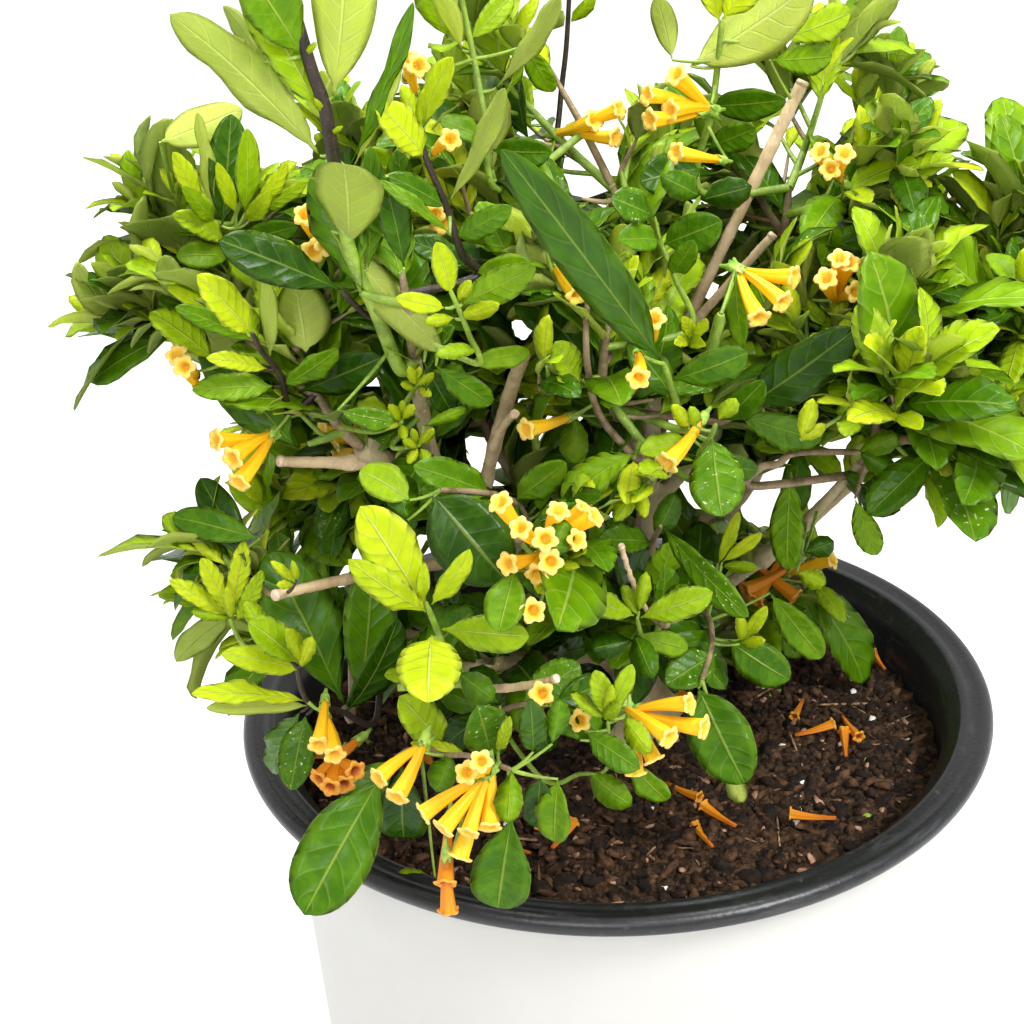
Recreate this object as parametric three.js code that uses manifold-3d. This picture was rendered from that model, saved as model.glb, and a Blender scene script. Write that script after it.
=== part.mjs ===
// A potted orange jessamine: a small pruned shrub with tubular orange blossom, in a round nursery pot.
// Millimetres, +Z up. The origin is the middle of the flat underside of the pot, seen from -Y.
// The trunk forks into boughs, and each bough ends where it meets the stem of its mass of leaves.
// A mass is grown by a seeded rule: shoots leave the stem for tips spread through the mass's space,
// leaves stand round each shoot in a spiral, and blossom hangs in clusters near some of the tips.

import * as THREE from "three";
import { mergeVertices } from "three/addons/utils/BufferGeometryUtils.js";
import Module from "manifold-3d";

const wasm = await Module();
wasm.setup();

// Driving dimensions
const GAP = 0.3; // between neighbouring pieces
const POT_HEIGHT = 230;
const RIM_RADIUS = 120;
const WALL_TOP_RADIUS = 107;
const FOOT_RADIUS = 96;
const WALL = 2;
const LIP_HEIGHT = 6;
const LIP_ROLL = 8; // how wide the lip's roll is, before it slopes in to the wall
const SLEEVE = 0.8;
const SLEEVE_BOTTOM = 6;
const FOOT_BEVEL = 3;
const DRAIN_HOLES = 6;
const DRAIN_SIZE = [16, 12, 9];
const ROUND_STEPS = 36;
const SHORTEST_EDGE = 0.004;
const SOIL_TOP = 212;
const SOIL_FLAT_RADIUS = 30;
const SOIL_EDGE_DROP = 3;
const POT_FLOOR = 2.5;

const GOLDEN_ANGLE = (137.5 * Math.PI) / 180;
const UP = new THREE.Vector3(0, 0, 1);

// The rule for stems, shoots, leaves and blossom. A pair of values goes from root to tip.
const STEM_RADIUS = [2.5, 1.7];
const STEM_CREST = 0.3; // how far above its heart a mass's stem ends, as a share of its height
const SHOOT_RADIUS = [1.7, 1.2];
const SHOOT_PLACES = [0.16, 0.97]; // the stretch of the stem that shoots leave
const SHOOT_SAG = 0.14;
const SHOOT_CLEAR = 26; // least distance between two tips of a mass
const TIP_DEPTH = 0.15; // how far inside its mass's reach a tip may stay
const INWARD_LIMIT = -0.55; // tips that point further into the crown are left out
const BLOOM_SHARE = 0.2;
const LEAVES_PER_SHOOT = 8;
const SOLID_LEAVES = [0, 1, 3, 5, 7]; // the leaves that the solids have
const LEAF_PLACES = [0.34, 0.96];
const LEAF_SPREAD = [1.25, 0.45]; // angle between leaf and shoot
const LEAF_TURNS = [0, 0.7, -0.7, 1.4, -1.4]; // where a leaf may stand beside its place in the spiral
const LEAF_RISE = 0.12;
const LEAF_LENGTH = 50;
const LEAF_SHRINK = 0.55; // how much shorter the last leaf is than the first
const LEAF_WIDTH_SHARE = 0.5;
const LEAF_THICKNESS_SHARE = 0.035;
const LEAF_BELLY = 0.48; // where along its length a leaf is widest
const LEAF_BEND = 0.09; // how far the middle stands over the line from root to tip
const LEAF_SUNK = 0.25; // how far past its shoot's middle line a leaf starts
const FLOWERS_PER_CLUSTER = 3;
const FLOWER_PLACE = 0.93;
const FLOWER_LENGTH = 21;
const FLOWER_RADIUS = [1.2, 3.6];
const FLOWER_DROOP = 0.28;
const CELL_SLACK = 0.22; // how far a leaf may reach into the next mass's space, as a share of its reach
const CROWN_HEART = new THREE.Vector3(0, 0, 300);

// How thin a limb's tip is beside its root
const TRUNK_TAPER = 0.74;
const BOUGH_TAPER = 0.66;
const SIDE_BOUGH_TAPER = 0.78;
const STICK_TAPER = 0.86;

// Faces round a limb, and steps along it
const TRUNK_SIDES = 12;
const BOUGH_SIDES = 6;
const SIDE_BOUGH_SIDES = 5;
const LIMB_STEPS = 4;

const BARK = { color: 0x8a7660, roughness: 0.9, metalness: 0 };
const CUT_WOOD = { color: 0xa08a70, roughness: 0.9, metalness: 0 };
const FOLIAGE = { color: 0x4f8a1e, roughness: 0.45, metalness: 0 };
const BLACK_PLASTIC = { color: 0x1e1f22, roughness: 0.4, metalness: 0 };
const WHITE_PLASTIC = { color: 0xf2f2ee, roughness: 0.35, metalness: 0 };
const POTTING_MIX = { color: 0x3a261c, roughness: 1, metalness: 0 };

// Limbs: each is one tapering curve. One that leaves another limb starts on that limb's middle line,
// a share of the way along it, and the others give their own start.
const TRUNK = {
  name: "trunk",
  from: [6, 10, SOIL_TOP + GAP],
  via: [4, 9, 238],
  to: [9, 5, 262],
  radius: 11.5,
  flare: 6,
};
const BOUGHS = [
  { name: "bough_left", on: "trunk", at: 0.86, via: [-32, -8, 288], to: [-70, -38, 336], radius: 5.2 },
  { name: "bough_front_left", on: "trunk", at: 0.42, via: [-25, -28, 260], to: [-54, -76, 282], radius: 4.6 },
  { name: "bough_front", on: "trunk", at: 0.7, via: [0, -30, 281], to: [-18, -60, 312], radius: 4.4 },
  { name: "bough_centre", on: "trunk", at: 1, via: [14, 8, 300], to: [14, 0, 352], radius: 5 },
  { name: "bough_right", on: "trunk", at: 0.66, via: [44, -4, 268], to: [74, -20, 318], radius: 4.8 },
  { name: "bough_back_right", on: "trunk", at: 0.5, via: [36, 42, 266], to: [58, 60, 322], radius: 4.8 },
  { name: "bough_back_left", on: "trunk", at: 0.6, via: [-24, 42, 272], to: [-50, 54, 324], radius: 4.8 },
  { name: "bough_back", on: "trunk", at: 0.8, via: [10, 46, 290], to: [6, 74, 334], radius: 4.6 },
  { name: "bough_low_right", on: "trunk", at: 0.16, via: [28, 20, 231], to: [44, 32, 238], radius: 3 },
  { name: "bough_low_back", on: "bough_back", at: 0.45, via: [16, 60, 284], to: [20, 78, 290], radius: 3 },
  { name: "bough_low_left", on: "bough_back_left", at: 0.4, via: [-48, 36, 280], to: [-64, 34, 288], radius: 3 },
  { name: "bough_left_upper", on: "bough_left", at: 0.72, via: [-52, -40, 342], to: [-51, -57, 370], radius: 3.3 },
  { name: "bough_left_far", on: "bough_left", at: 0.5, via: [-66, -4, 318], to: [-92, -12, 344], radius: 3.2 },
  { name: "bough_left_inner", on: "bough_left", at: 0.3, via: [-26, 8, 298], to: [-34, 8, 312], radius: 2.9 },
  { name: "bough_left_low", on: "bough_front_left", at: 0.5, via: [-58, -32, 270], to: [-84, -50, 286], radius: 3.1 },
  { name: "bough_front_right", on: "bough_front", at: 0.45, via: [14, -44, 282], to: [15, -60, 288], radius: 2.9 },
  { name: "bough_centre_front", on: "bough_centre", at: 0.42, via: [6, -22, 336], to: [0, -44, 352], radius: 3.1 },
  { name: "bough_right_top", on: "bough_centre", at: 0.36, via: [42, 16, 320], to: [52, 14, 366], radius: 3.4 },
  { name: "bough_right_inner", on: "bough_back_right", at: 0.4, via: [48, 26, 288], to: [50, 20, 304], radius: 2.9 },
  { name: "bough_right_far", on: "bough_right", at: 0.55, via: [82, 12, 300], to: [100, 6, 326], radius: 3.2 },
];
const CUT_STICKS = [
  { name: "cut_stick_right", on: "bough_centre", at: 0.8, via: [36, 9, 377], to: [59, 20, 421], radius: 3.3 },
  { name: "cut_stick_middle", on: "bough_left", at: 0.6, via: [-33, -36, 336], to: [-22, -50, 368], radius: 3.6 },
  { name: "cut_stick_left", on: "bough_left", at: 0.4, via: [-62, -50, 304], to: [-92, -77, 310], radius: 3 },
  { name: "cut_stick_fork", on: "bough_centre", at: 0.88, via: [30, -4, 362], to: [49, -3, 383], radius: 2.6 },
];

// Masses of leaves: each starts at the tip of its bough and fills the space round its heart
const MASSES = [
  { name: "leaves_left", bough: "bough_left", heart: [-86, -50, 366], reach: [36, 36, 36], shoots: 8 },
  { name: "leaves_left_top", bough: "bough_left_upper", heart: [-56, -62, 424], reach: [32, 34, 46], shoots: 6 },
  { name: "leaves_left_far", bough: "bough_left_far", heart: [-108, -2, 376], reach: [34, 38, 44], shoots: 7 },
  { name: "leaves_left_low", bough: "bough_left_low", heart: [-106, -60, 302], reach: [38, 38, 32], shoots: 8 },
  { name: "leaves_front_low", bough: "bough_front_left", heart: [-58, -98, 282], reach: [40, 32, 34], shoots: 8 },
  { name: "leaves_front", bough: "bough_front", heart: [-30, -84, 334], reach: [36, 32, 34], shoots: 8 },
  { name: "leaves_front_right", bough: "bough_front_right", heart: [4, -80, 298], reach: [28, 30, 26], shoots: 7 },
  { name: "leaves_centre_front", bough: "bough_centre_front", heart: [2, -56, 374], reach: [36, 34, 34], shoots: 7 },
  { name: "leaves_centre_top", bough: "bough_centre", heart: [-14, 4, 418], reach: [38, 42, 50], shoots: 6 },
  { name: "leaves_right_top", bough: "bough_right_top", heart: [54, 8, 414], reach: [40, 42, 44], shoots: 8 },
  { name: "leaves_right", bough: "bough_right", heart: [66, -46, 350], reach: [36, 36, 38], shoots: 8 },
  { name: "leaves_right_far", bough: "bough_right_far", heart: [110, 2, 352], reach: [36, 44, 46], shoots: 7 },
  { name: "leaves_right_inner", bough: "bough_right_inner", heart: [48, 12, 330], reach: [30, 30, 30], shoots: 6 },
  { name: "leaves_left_inner", bough: "bough_left_inner", heart: [-42, 2, 340], reach: [32, 32, 36], shoots: 7 },
  { name: "leaves_back_left", bough: "bough_back_left", heart: [-62, 62, 366], reach: [46, 42, 52], shoots: 7 },
  { name: "leaves_back", bough: "bough_back", heart: [6, 84, 374], reach: [40, 38, 54], shoots: 6 },
  { name: "leaves_back_right", bough: "bough_back_right", heart: [72, 66, 360], reach: [44, 42, 54], shoots: 7 },
  { name: "leaves_low_left", bough: "bough_low_left", heart: [-84, 38, 300], reach: [38, 38, 28], shoots: 6 },
  { name: "leaves_low_back", bough: "bough_low_back", heart: [14, 102, 300], reach: [40, 28, 28], shoots: 6 },
  { name: "leaves_low_right", bough: "bough_low_right", heart: [64, 48, 256], reach: [34, 32, 26], shoots: 5 },
];

// Shoot tips that stand out from the front. Each belongs to the mass that holds its place.
// size is their leaves' size beside the usual one.
const SHOWN_TIPS = [
  { at: [-68, -74, 482], bloom: false, size: 1.5 },
  { at: [-41, -62, 444], bloom: false, size: 0.9 },
  { at: [-100, -30, 422], bloom: false, size: 0.9 },
  { at: [-96, -72, 396], bloom: false, size: 1.1 },
  { at: [-33, -8, 470], bloom: false, size: 1 },
  { at: [-5, 22, 480], bloom: false, size: 0.8 },
  { at: [60, 14, 470], bloom: false, size: 1.3 },
  { at: [-33, -84, 400], bloom: false, size: 0.8 },
  { at: [20, -64, 382], bloom: false, size: 1.2 },
  { at: [2, 8, 418], bloom: true, size: 0.8 },
  { at: [24, 12, 424], bloom: true, size: 0.8 },
  { at: [44, -26, 378], bloom: true, size: 0.8 },
  { at: [-22, -104, 336], bloom: true, size: 0.9 },
  { at: [-47, -112, 332], bloom: false, size: 1 },
  { at: [-108, -62, 346], bloom: true, size: 0.9 },
  { at: [-112, -86, 290], bloom: false, size: 0.9 },
  { at: [-112, -58, 316], bloom: false, size: 0.9 },
  { at: [-80, -94, 284], bloom: true, size: 1 },
  { at: [-40, -120, 284], bloom: true, size: 0.8 },
  { at: [-62, -120, 270], bloom: false, size: 0.9 },
  { at: [10, -106, 286], bloom: true, size: 0.9 },
  { at: [28, -84, 280], bloom: false, size: 1 },
  { at: [24, -74, 336], bloom: false, size: 0.9 },
];

const vector = (numbers) => new THREE.Vector3(...numbers);

// Random numbers from 0 to 1, the same for the same seed
function stream(seed) {
  let state = seed >>> 0;
  return () => {
    state = (state + 0x6d2b79f5) >>> 0;
    let mixed = Math.imul(state ^ (state >>> 15), state | 1);
    mixed ^= mixed + Math.imul(mixed ^ (mixed >>> 7), mixed | 61);
    return ((mixed ^ (mixed >>> 14)) >>> 0) / 2 ** 32;
  };
}

const mix = (a, b, share) => a + (b - a) * share;

// A direction square to another, turned round it by an angle
function around(direction, angle) {
  const reference = Math.abs(direction.z) > 0.95 ? new THREE.Vector3(1, 0, 0) : UP;
  const side = new THREE.Vector3().crossVectors(direction, reference).normalize();
  const other = new THREE.Vector3().crossVectors(direction, side);
  return side.multiplyScalar(Math.cos(angle)).addScaledVector(other, Math.sin(angle));
}

// A direction that leaves another by an angle, turned round it
function spreadFrom(direction, turn, angle) {
  return direction.clone().multiplyScalar(Math.cos(angle)).addScaledVector(around(direction, turn), Math.sin(angle));
}

// The part of one direction that is square to another
function squareTo(direction, axis) {
  return direction.clone().addScaledVector(axis, -direction.dot(axis)).normalize();
}

// Solids
function solidOf(geometry) {
  const bare = geometry.clone();
  bare.deleteAttribute("normal");
  bare.deleteAttribute("uv");
  const merged = mergeVertices(bare, 1e-4);
  return new wasm.Manifold(
    new wasm.Mesh({
      numProp: 3,
      vertProperties: new Float32Array(merged.attributes.position.array),
      triVerts: new Uint32Array(merged.index.array),
    }),
  );
}

function geometryOf(solid) {
  const mesh = solid.getMesh();
  const geometry = new THREE.BufferGeometry();
  geometry.setAttribute("position", new THREE.BufferAttribute(mesh.vertProperties, 3));
  geometry.setIndex(new THREE.BufferAttribute(mesh.triVerts, 1));
  geometry.computeVertexNormals();
  return geometry;
}

// A cylinder bent along a curve, with a radius that changes along it. A level one keeps its rings flat.
function bentTube(curve, radiusAt, sides, steps, level = false) {
  const tube = new THREE.CylinderGeometry(1, 1, 1, sides, steps);
  const position = tube.attributes.position;
  const point = new THREE.Vector3();
  for (let i = 0; i < position.count; i++) {
    point.fromBufferAttribute(position, i);
    const share = point.y + 0.5;
    const axis = level ? UP : curve.getTangent(share);
    const angle = Math.atan2(point.z, point.x);
    const reach = Math.hypot(point.x, point.z) * radiusAt(share);
    const placed = curve.getPoint(share).addScaledVector(around(axis, -angle), reach);
    position.setXYZ(i, placed.x, placed.y, placed.z);
  }
  return solidOf(tube);
}

// Limbs
const limbCurves = new Map();
const limbRadii = new Map();

function taperOf(limb) {
  if (limb === TRUNK) return TRUNK_TAPER;
  if (CUT_STICKS.includes(limb)) return STICK_TAPER;
  return limb.on === TRUNK.name ? BOUGH_TAPER : SIDE_BOUGH_TAPER;
}

function addLimb(limb) {
  const start = limb.on ? limbCurves.get(limb.on).getPoint(limb.at) : vector(limb.from);
  limbCurves.set(limb.name, new THREE.QuadraticBezierCurve3(start, vector(limb.via), vector(limb.to)));
  const flare = limb.flare ?? 0;
  const radiusAt = (share) => limb.radius * mix(1, taperOf(limb), share) + flare * Math.exp(-9 * share);
  limbRadii.set(limb.name, radiusAt);
}

// extra makes the limb fatter, for the room that others leave it
function wholeLimb(limb, extra) {
  const radiusAt = limbRadii.get(limb.name);
  const isTrunk = limb === TRUNK;
  const boughSides = limb.on === TRUNK.name ? BOUGH_SIDES : SIDE_BOUGH_SIDES;
  const sides = isTrunk ? TRUNK_SIDES : boughSides;
  return bentTube(limbCurves.get(limb.name), (share) => radiusAt(share) + extra, sides, LIMB_STEPS, isTrunk);
}

function largest(solid) {
  const bodies = solid.decompose();
  return bodies.reduce((best, body) => (body.volume() > best.volume() ? body : best));
}

const LIMBS = [TRUNK, ...BOUGHS, ...CUT_STICKS];
LIMBS.forEach(addLimb);

// A limb's root is cut clear of every limb before it
function limbSolid(limb) {
  const earlier = LIMBS.slice(0, LIMBS.indexOf(limb)).map((other) => wholeLimb(other, GAP));
  return earlier.reduce((solid, other) => largest(solid.subtract(other)), wholeLimb(limb, 0));
}

// The pot, its sleeve and what fills it
function turned(profile) {
  const points = profile.map(([radius, height]) => new THREE.Vector2(radius, height));
  return solidOf(new THREE.LatheGeometry(points, ROUND_STEPS).rotateX(Math.PI / 2));
}

const LIP_BOTTOM = POT_HEIGHT - LIP_HEIGHT;
const LIP_INNER_RADIUS = WALL_TOP_RADIUS - WALL;
const wallRadius = (height) => mix(FOOT_RADIUS, WALL_TOP_RADIUS, height / LIP_BOTTOM);

function drainSolid(index) {
  const angle = ((index + 0.5) * 2 * Math.PI) / DRAIN_HOLES;
  return solidOf(new THREE.BoxGeometry(...DRAIN_SIZE).translate(FOOT_RADIUS, 0, 0).rotateZ(angle));
}

// The foot's edge is bevelled, and the lip is a thick rounded roll that stands out over the wall
function potSolid() {
  let shell = turned([
    [0, 0],
    [FOOT_RADIUS - FOOT_BEVEL, 0],
    [wallRadius(FOOT_BEVEL), FOOT_BEVEL],
    [WALL_TOP_RADIUS, LIP_BOTTOM],
    [RIM_RADIUS - 3.5, LIP_BOTTOM],
    [RIM_RADIUS - 0.6, LIP_BOTTOM + 1.2],
    [RIM_RADIUS, LIP_BOTTOM + LIP_HEIGHT / 2],
    [RIM_RADIUS - 1.6, POT_HEIGHT - 1.2],
    [RIM_RADIUS - 4.5, POT_HEIGHT],
    [RIM_RADIUS - LIP_ROLL, POT_HEIGHT - 0.8],
    [LIP_INNER_RADIUS + 3, POT_HEIGHT - 3],
    [LIP_INNER_RADIUS, LIP_BOTTOM - 1],
    [wallRadius(POT_FLOOR) - WALL, POT_FLOOR],
    [0, POT_FLOOR],
  ]);
  for (let i = 0; i < DRAIN_HOLES; i++) shell = shell.subtract(drainSolid(i));
  return shell;
}

function sleeveSolid() {
  const top = LIP_BOTTOM - GAP;
  const inside = (height) => wallRadius(height) + GAP;
  return turned([
    [inside(SLEEVE_BOTTOM), SLEEVE_BOTTOM],
    [inside(SLEEVE_BOTTOM) + SLEEVE, SLEEVE_BOTTOM],
    [inside(top) + SLEEVE, top],
    [inside(top), top],
    [inside(SLEEVE_BOTTOM), SLEEVE_BOTTOM],
  ]);
}

// The potting mix is flat round the trunk and falls a little towards the wall
function soilSolid() {
  const inside = (height) => wallRadius(height) - WALL - 2 * GAP;
  const bottom = POT_FLOOR + GAP;
  const edge = SOIL_TOP - SOIL_EDGE_DROP;
  return turned([
    [0, bottom],
    [inside(bottom), bottom],
    [inside(edge), edge],
    [2 * SOIL_FLAT_RADIUS, SOIL_TOP - 0.4 * SOIL_EDGE_DROP],
    [SOIL_FLAT_RADIUS, SOIL_TOP],
    [0, SOIL_TOP],
  ]);
}

// The growth rule. A place's distance from a mass counts its reach as 1.
function distanceFrom(mass, place) {
  const [x, y, z] = mass.heart;
  const [rx, ry, rz] = mass.reach;
  return Math.hypot((place.x - x) / rx, (place.y - y) / ry, (place.z - z) / rz);
}

function nearestMass(place) {
  return MASSES.reduce((best, mass) => (distanceFrom(mass, place) < distanceFrom(best, place) ? mass : best));
}

function holds(mass, place) {
  const own = distanceFrom(mass, place) - CELL_SLACK;
  return MASSES.every((other) => own < distanceFrom(other, place));
}

function stemOf(mass) {
  const bough = limbCurves.get(mass.bough);
  const heading = bough.getTangent(1);
  const root = bough.getPoint(1).addScaledVector(heading, GAP);
  const heart = vector(mass.heart);
  const crest = heart.clone().addScaledVector(UP, STEM_CREST * mass.reach[2]);
  const via = root.clone().addScaledVector(heading, 0.45 * root.distanceTo(heart));
  return new THREE.QuadraticBezierCurve3(root, via, crest);
}

// Directions spread evenly round a mass, from its top to most of the way down
function directionOf(index, count, jitter) {
  const rise = 1 - ((index + 0.5) / count) * 1.8;
  const turn = index * GOLDEN_ANGLE + jitter * 0.5;
  const level = Math.sqrt(1 - rise * rise);
  return new THREE.Vector3(level * Math.cos(turn), level * Math.sin(turn), rise);
}

// Tips: those that are shown first, then one for each direction that isn't turned into the crown
function tipsOf(mass, random) {
  const heart = vector(mass.heart);
  const outwards = heart.clone().sub(CROWN_HEART).normalize();
  const shown = SHOWN_TIPS.filter((tip) => nearestMass(vector(tip.at)) === mass);
  const tips = shown.map((tip) => ({ place: vector(tip.at), bloom: tip.bloom, size: tip.size }));
  for (let i = 0; i < mass.shoots; i++) {
    const direction = directionOf(i, mass.shoots, random());
    const reach = 1 - TIP_DEPTH * random();
    const bloom = random() < BLOOM_SHARE;
    const size = 0.85 + 0.3 * random();
    if (direction.dot(outwards) < INWARD_LIMIT) continue;
    const place = direction.multiply(vector(mass.reach)).multiplyScalar(reach).add(heart);
    if (tips.some((tip) => tip.place.distanceTo(place) < SHOOT_CLEAR)) continue;
    tips.push({ place, bloom, size });
  }
  return tips.sort((one, other) => one.place.z - other.place.z);
}

// Shoots leave the stem one above the other, the lowest tip's first, and turn up towards their tips
function shootOf(stem, tip, rank, random) {
  const start = stem.getPoint(mix(...SHOOT_PLACES, rank));
  const span = start.distanceTo(tip.place);
  const via = start.clone().lerp(tip.place, 0.5).addScaledVector(UP, -SHOOT_SAG * span);
  via.x += (random() - 0.5) * 0.16 * span;
  via.y += (random() - 0.5) * 0.16 * span;
  return new THREE.QuadraticBezierCurve3(start, via, tip.place);
}

// Leaves stand in a spiral along the outer part of the shoot, smaller and steeper towards its tip.
// Each has a few places to stand, and takes the first that is free.
function leavesOf(shoot, size, random) {
  const first = random() * 2 * Math.PI;
  return Array.from({ length: LEAVES_PER_SHOOT }, (_, i) => {
    const age = i / (LEAVES_PER_SHOOT - 1);
    const share = mix(...LEAF_PLACES, Math.pow(age, 0.85));
    const base = shoot.getPoint(share);
    const heading = shoot.getTangent(share);
    const spread = mix(...LEAF_SPREAD, age) + (random() - 0.5) * 0.3;
    const length = LEAF_LENGTH * size * (1 - LEAF_SHRINK * Math.pow(age, 1.3)) * (0.88 + 0.24 * random());
    const lit = heading.clone().multiplyScalar(0.7).addScaledVector(UP, 0.8);
    return LEAF_TURNS.map((turn) => {
      const direction = spreadFrom(heading, first + i * GOLDEN_ANGLE + turn, spread);
      direction.addScaledVector(UP, LEAF_RISE).normalize();
      return { base, direction, face: squareTo(lit, direction), length };
    });
  });
}

// Blossom hangs outwards and down from just below the tip, in a loose cluster
function flowersOf(shoot, random) {
  const base = shoot.getPoint(FLOWER_PLACE);
  const hang = base.clone().sub(CROWN_HEART).setZ(0).normalize().addScaledVector(UP, -FLOWER_DROOP).normalize();
  return Array.from({ length: FLOWERS_PER_CLUSTER }, (_, i) => {
    const spread = 0.35 + 0.3 * random();
    const direction = spreadFrom(hang, i * GOLDEN_ANGLE + random(), spread);
    return { base, direction, length: FLOWER_LENGTH * (0.9 + 0.2 * random()) };
  });
}

// A leaf is a cone of three sides, its cap's middle drawn out into the root. Its top is the leaf's tip,
// and its corners are the two edges and the keel under the middle.
function leafSolid(leaf) {
  const blade = new THREE.ConeGeometry(1, 1, 3);
  const side = new THREE.Vector3().crossVectors(leaf.face, leaf.direction);
  const halfWidth = (leaf.length * LEAF_WIDTH_SHARE) / 2;
  const position = blade.attributes.position;
  for (let i = 0; i < position.count; i++) {
    const corner = new THREE.Vector3().fromBufferAttribute(position, i);
    const isRim = Math.hypot(corner.x, corner.z) > 0.5;
    const along = isRim ? LEAF_BELLY : corner.y + 0.5;
    const across = (corner.x / Math.sin(Math.PI / 3)) * halfWidth;
    const lift = isRim ? LEAF_BEND - LEAF_THICKNESS_SHARE * Math.max(0, corner.z) : 0;
    const placed = leaf.base
      .clone()
      .addScaledVector(leaf.direction, along * leaf.length - LEAF_SUNK * (1 - along))
      .addScaledVector(side, across)
      .addScaledVector(leaf.face, lift * leaf.length);
    position.setXYZ(i, placed.x, placed.y, placed.z);
  }
  return solidOf(blade);
}

function flowerSolid(flower) {
  const mouth = flower.base.clone().addScaledVector(flower.direction, flower.length);
  const line = new THREE.LineCurve3(flower.base, mouth);
  return bentTube(line, (share) => mix(...FLOWER_RADIUS, share), 3, 1);
}

function cornersOf(solid) {
  const { vertProperties, numProp } = solid.getMesh();
  const count = vertProperties.length / numProp;
  return Array.from({ length: count }, (_, i) => vector(vertProperties.subarray(i * numProp, i * numProp + 3)));
}

function boxesMeet(one, other) {
  const [a, b] = [one.boundingBox(), other.boundingBox()];
  return [0, 1, 2].every((axis) => a.min[axis] < b.max[axis] && b.min[axis] < a.max[axis]);
}

function touches(solid, others) {
  return others.some((other) => boxesMeet(solid, other) && !solid.intersect(other).isEmpty());
}

// A join is clean where it leaves no edge too short to keep
function joinsCleanly(piece, carrier) {
  const joined = carrier.add(piece);
  const corners = cornersOf(joined);
  const { triVerts } = joined.getMesh();
  const edge = (from, to) => corners[triVerts[from]].distanceTo(corners[triVerts[to]]);
  const isShort = (_, i) => edge(i, i % 3 === 2 ? i - 2 : i + 1) < SHORTEST_EDGE;
  return joined.decompose().length === 1 && !Array.from(triVerts).some(isShort);
}

// The stem is cut clear of what is already there
function stemSolid(stem, taken) {
  const whole = bentTube(stem, (share) => mix(...STEM_RADIUS, share), 5, 4);
  const near = taken.filter((other) => boxesMeet(whole, other));
  return near.reduce((solid, other) => largest(solid.subtract(other)), whole);
}

// The shoots that keep to the mass's space and touch nothing outside it
function shootsOf(mass, stem, carrier, seed, taken) {
  const tips = tipsOf(mass, stream(seed));
  const shoots = tips.map((tip, index) => {
    const random = stream(seed * 100 + index);
    const curve = shootOf(stem, tip, (index + 0.5) / tips.length, random);
    const twig = bentTube(curve, (share) => mix(...SHOOT_RADIUS, share), 3, 2);
    return { tip, curve, twig, random };
  });
  const stays = ({ curve }) => holds(mass, curve.getPoint(0.5)) && holds(mass, curve.getPoint(1));
  return shoots.filter((shoot) => stays(shoot) && !touches(shoot.twig, taken) && joinsCleanly(shoot.twig, carrier));
}

// A shoot's leaves and flowers, each as a list of the places where it may stand
function growthOf({ tip, curve, random }) {
  const leaves = leavesOf(curve, tip.size, random).filter((places, i) => SOLID_LEAVES.includes(i));
  const flowers = tip.bloom ? flowersOf(curve, random) : [];
  return [...leaves.map((places) => places.map(leafSolid)), ...flowers.map((flower) => [flowerSolid(flower)])];
}

// A mass is its stem, its twigs, and the leaves and flowers that touch nothing but the twig they stand on
function massSolid(mass, seed, taken) {
  const stem = stemOf(mass);
  const kept = [stemSolid(stem, taken)];
  const shoots = shootsOf(mass, stem, kept[0], seed, taken);
  for (const shoot of shoots) {
    const otherTwigs = shoots.filter((other) => other !== shoot).map((other) => other.twig);
    for (const places of growthOf(shoot)) {
      const inside = places.filter((piece) => cornersOf(piece).every((corner) => holds(mass, corner)));
      const clean = inside.filter((piece) => joinsCleanly(piece, shoot.twig));
      const free = clean.find((piece) => !touches(piece, [...taken, ...otherTwigs, ...kept]));
      if (free) kept.push(free);
    }
  }
  return largest(wasm.Manifold.union([...kept, ...shoots.map((shoot) => shoot.twig)]));
}

// The whole plant
const plant = new THREE.Group();
plant.name = "potted_orange_jessamine";

function addPiece(name, solid, look) {
  const mesh = new THREE.Mesh(geometryOf(solid), new THREE.MeshStandardMaterial(look));
  mesh.name = name;
  plant.add(mesh);
  return solid;
}

const pot = addPiece("pot", potSolid(), BLACK_PLASTIC);
const sleeve = addPiece("pot_sleeve", sleeveSolid(), WHITE_PLASTIC);
const soil = addPiece("soil", soilSolid(), POTTING_MIX);
addPiece("trunk", limbSolid(TRUNK), BARK);
BOUGHS.forEach((bough) => addPiece(bough.name, limbSolid(bough), BARK));
CUT_STICKS.forEach((stick) => addPiece(stick.name, limbSolid(stick), CUT_WOOD));

const taken = [pot, sleeve, soil, ...LIMBS.map((limb) => wholeLimb(limb, 2 * GAP))];
MASSES.forEach((mass, index) => taken.push(addPiece(mass.name, massSolid(mass, index + 1, taken), FOLIAGE)));

export default plant;
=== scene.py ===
# The looks of a potted orange jessamine: bark, leaves, blossom, potting mix and pot.
# The plant grows here by the same rule as its solids, carried on to finer twigs and smaller leaves.
# The rule works in millimetres, and every mesh is made in metres.
import math
from types import SimpleNamespace as Record

import bmesh
import bpy
import numpy as np
from mathutils import Matrix, Vector, noise
from mathutils.kdtree import KDTree


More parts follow.
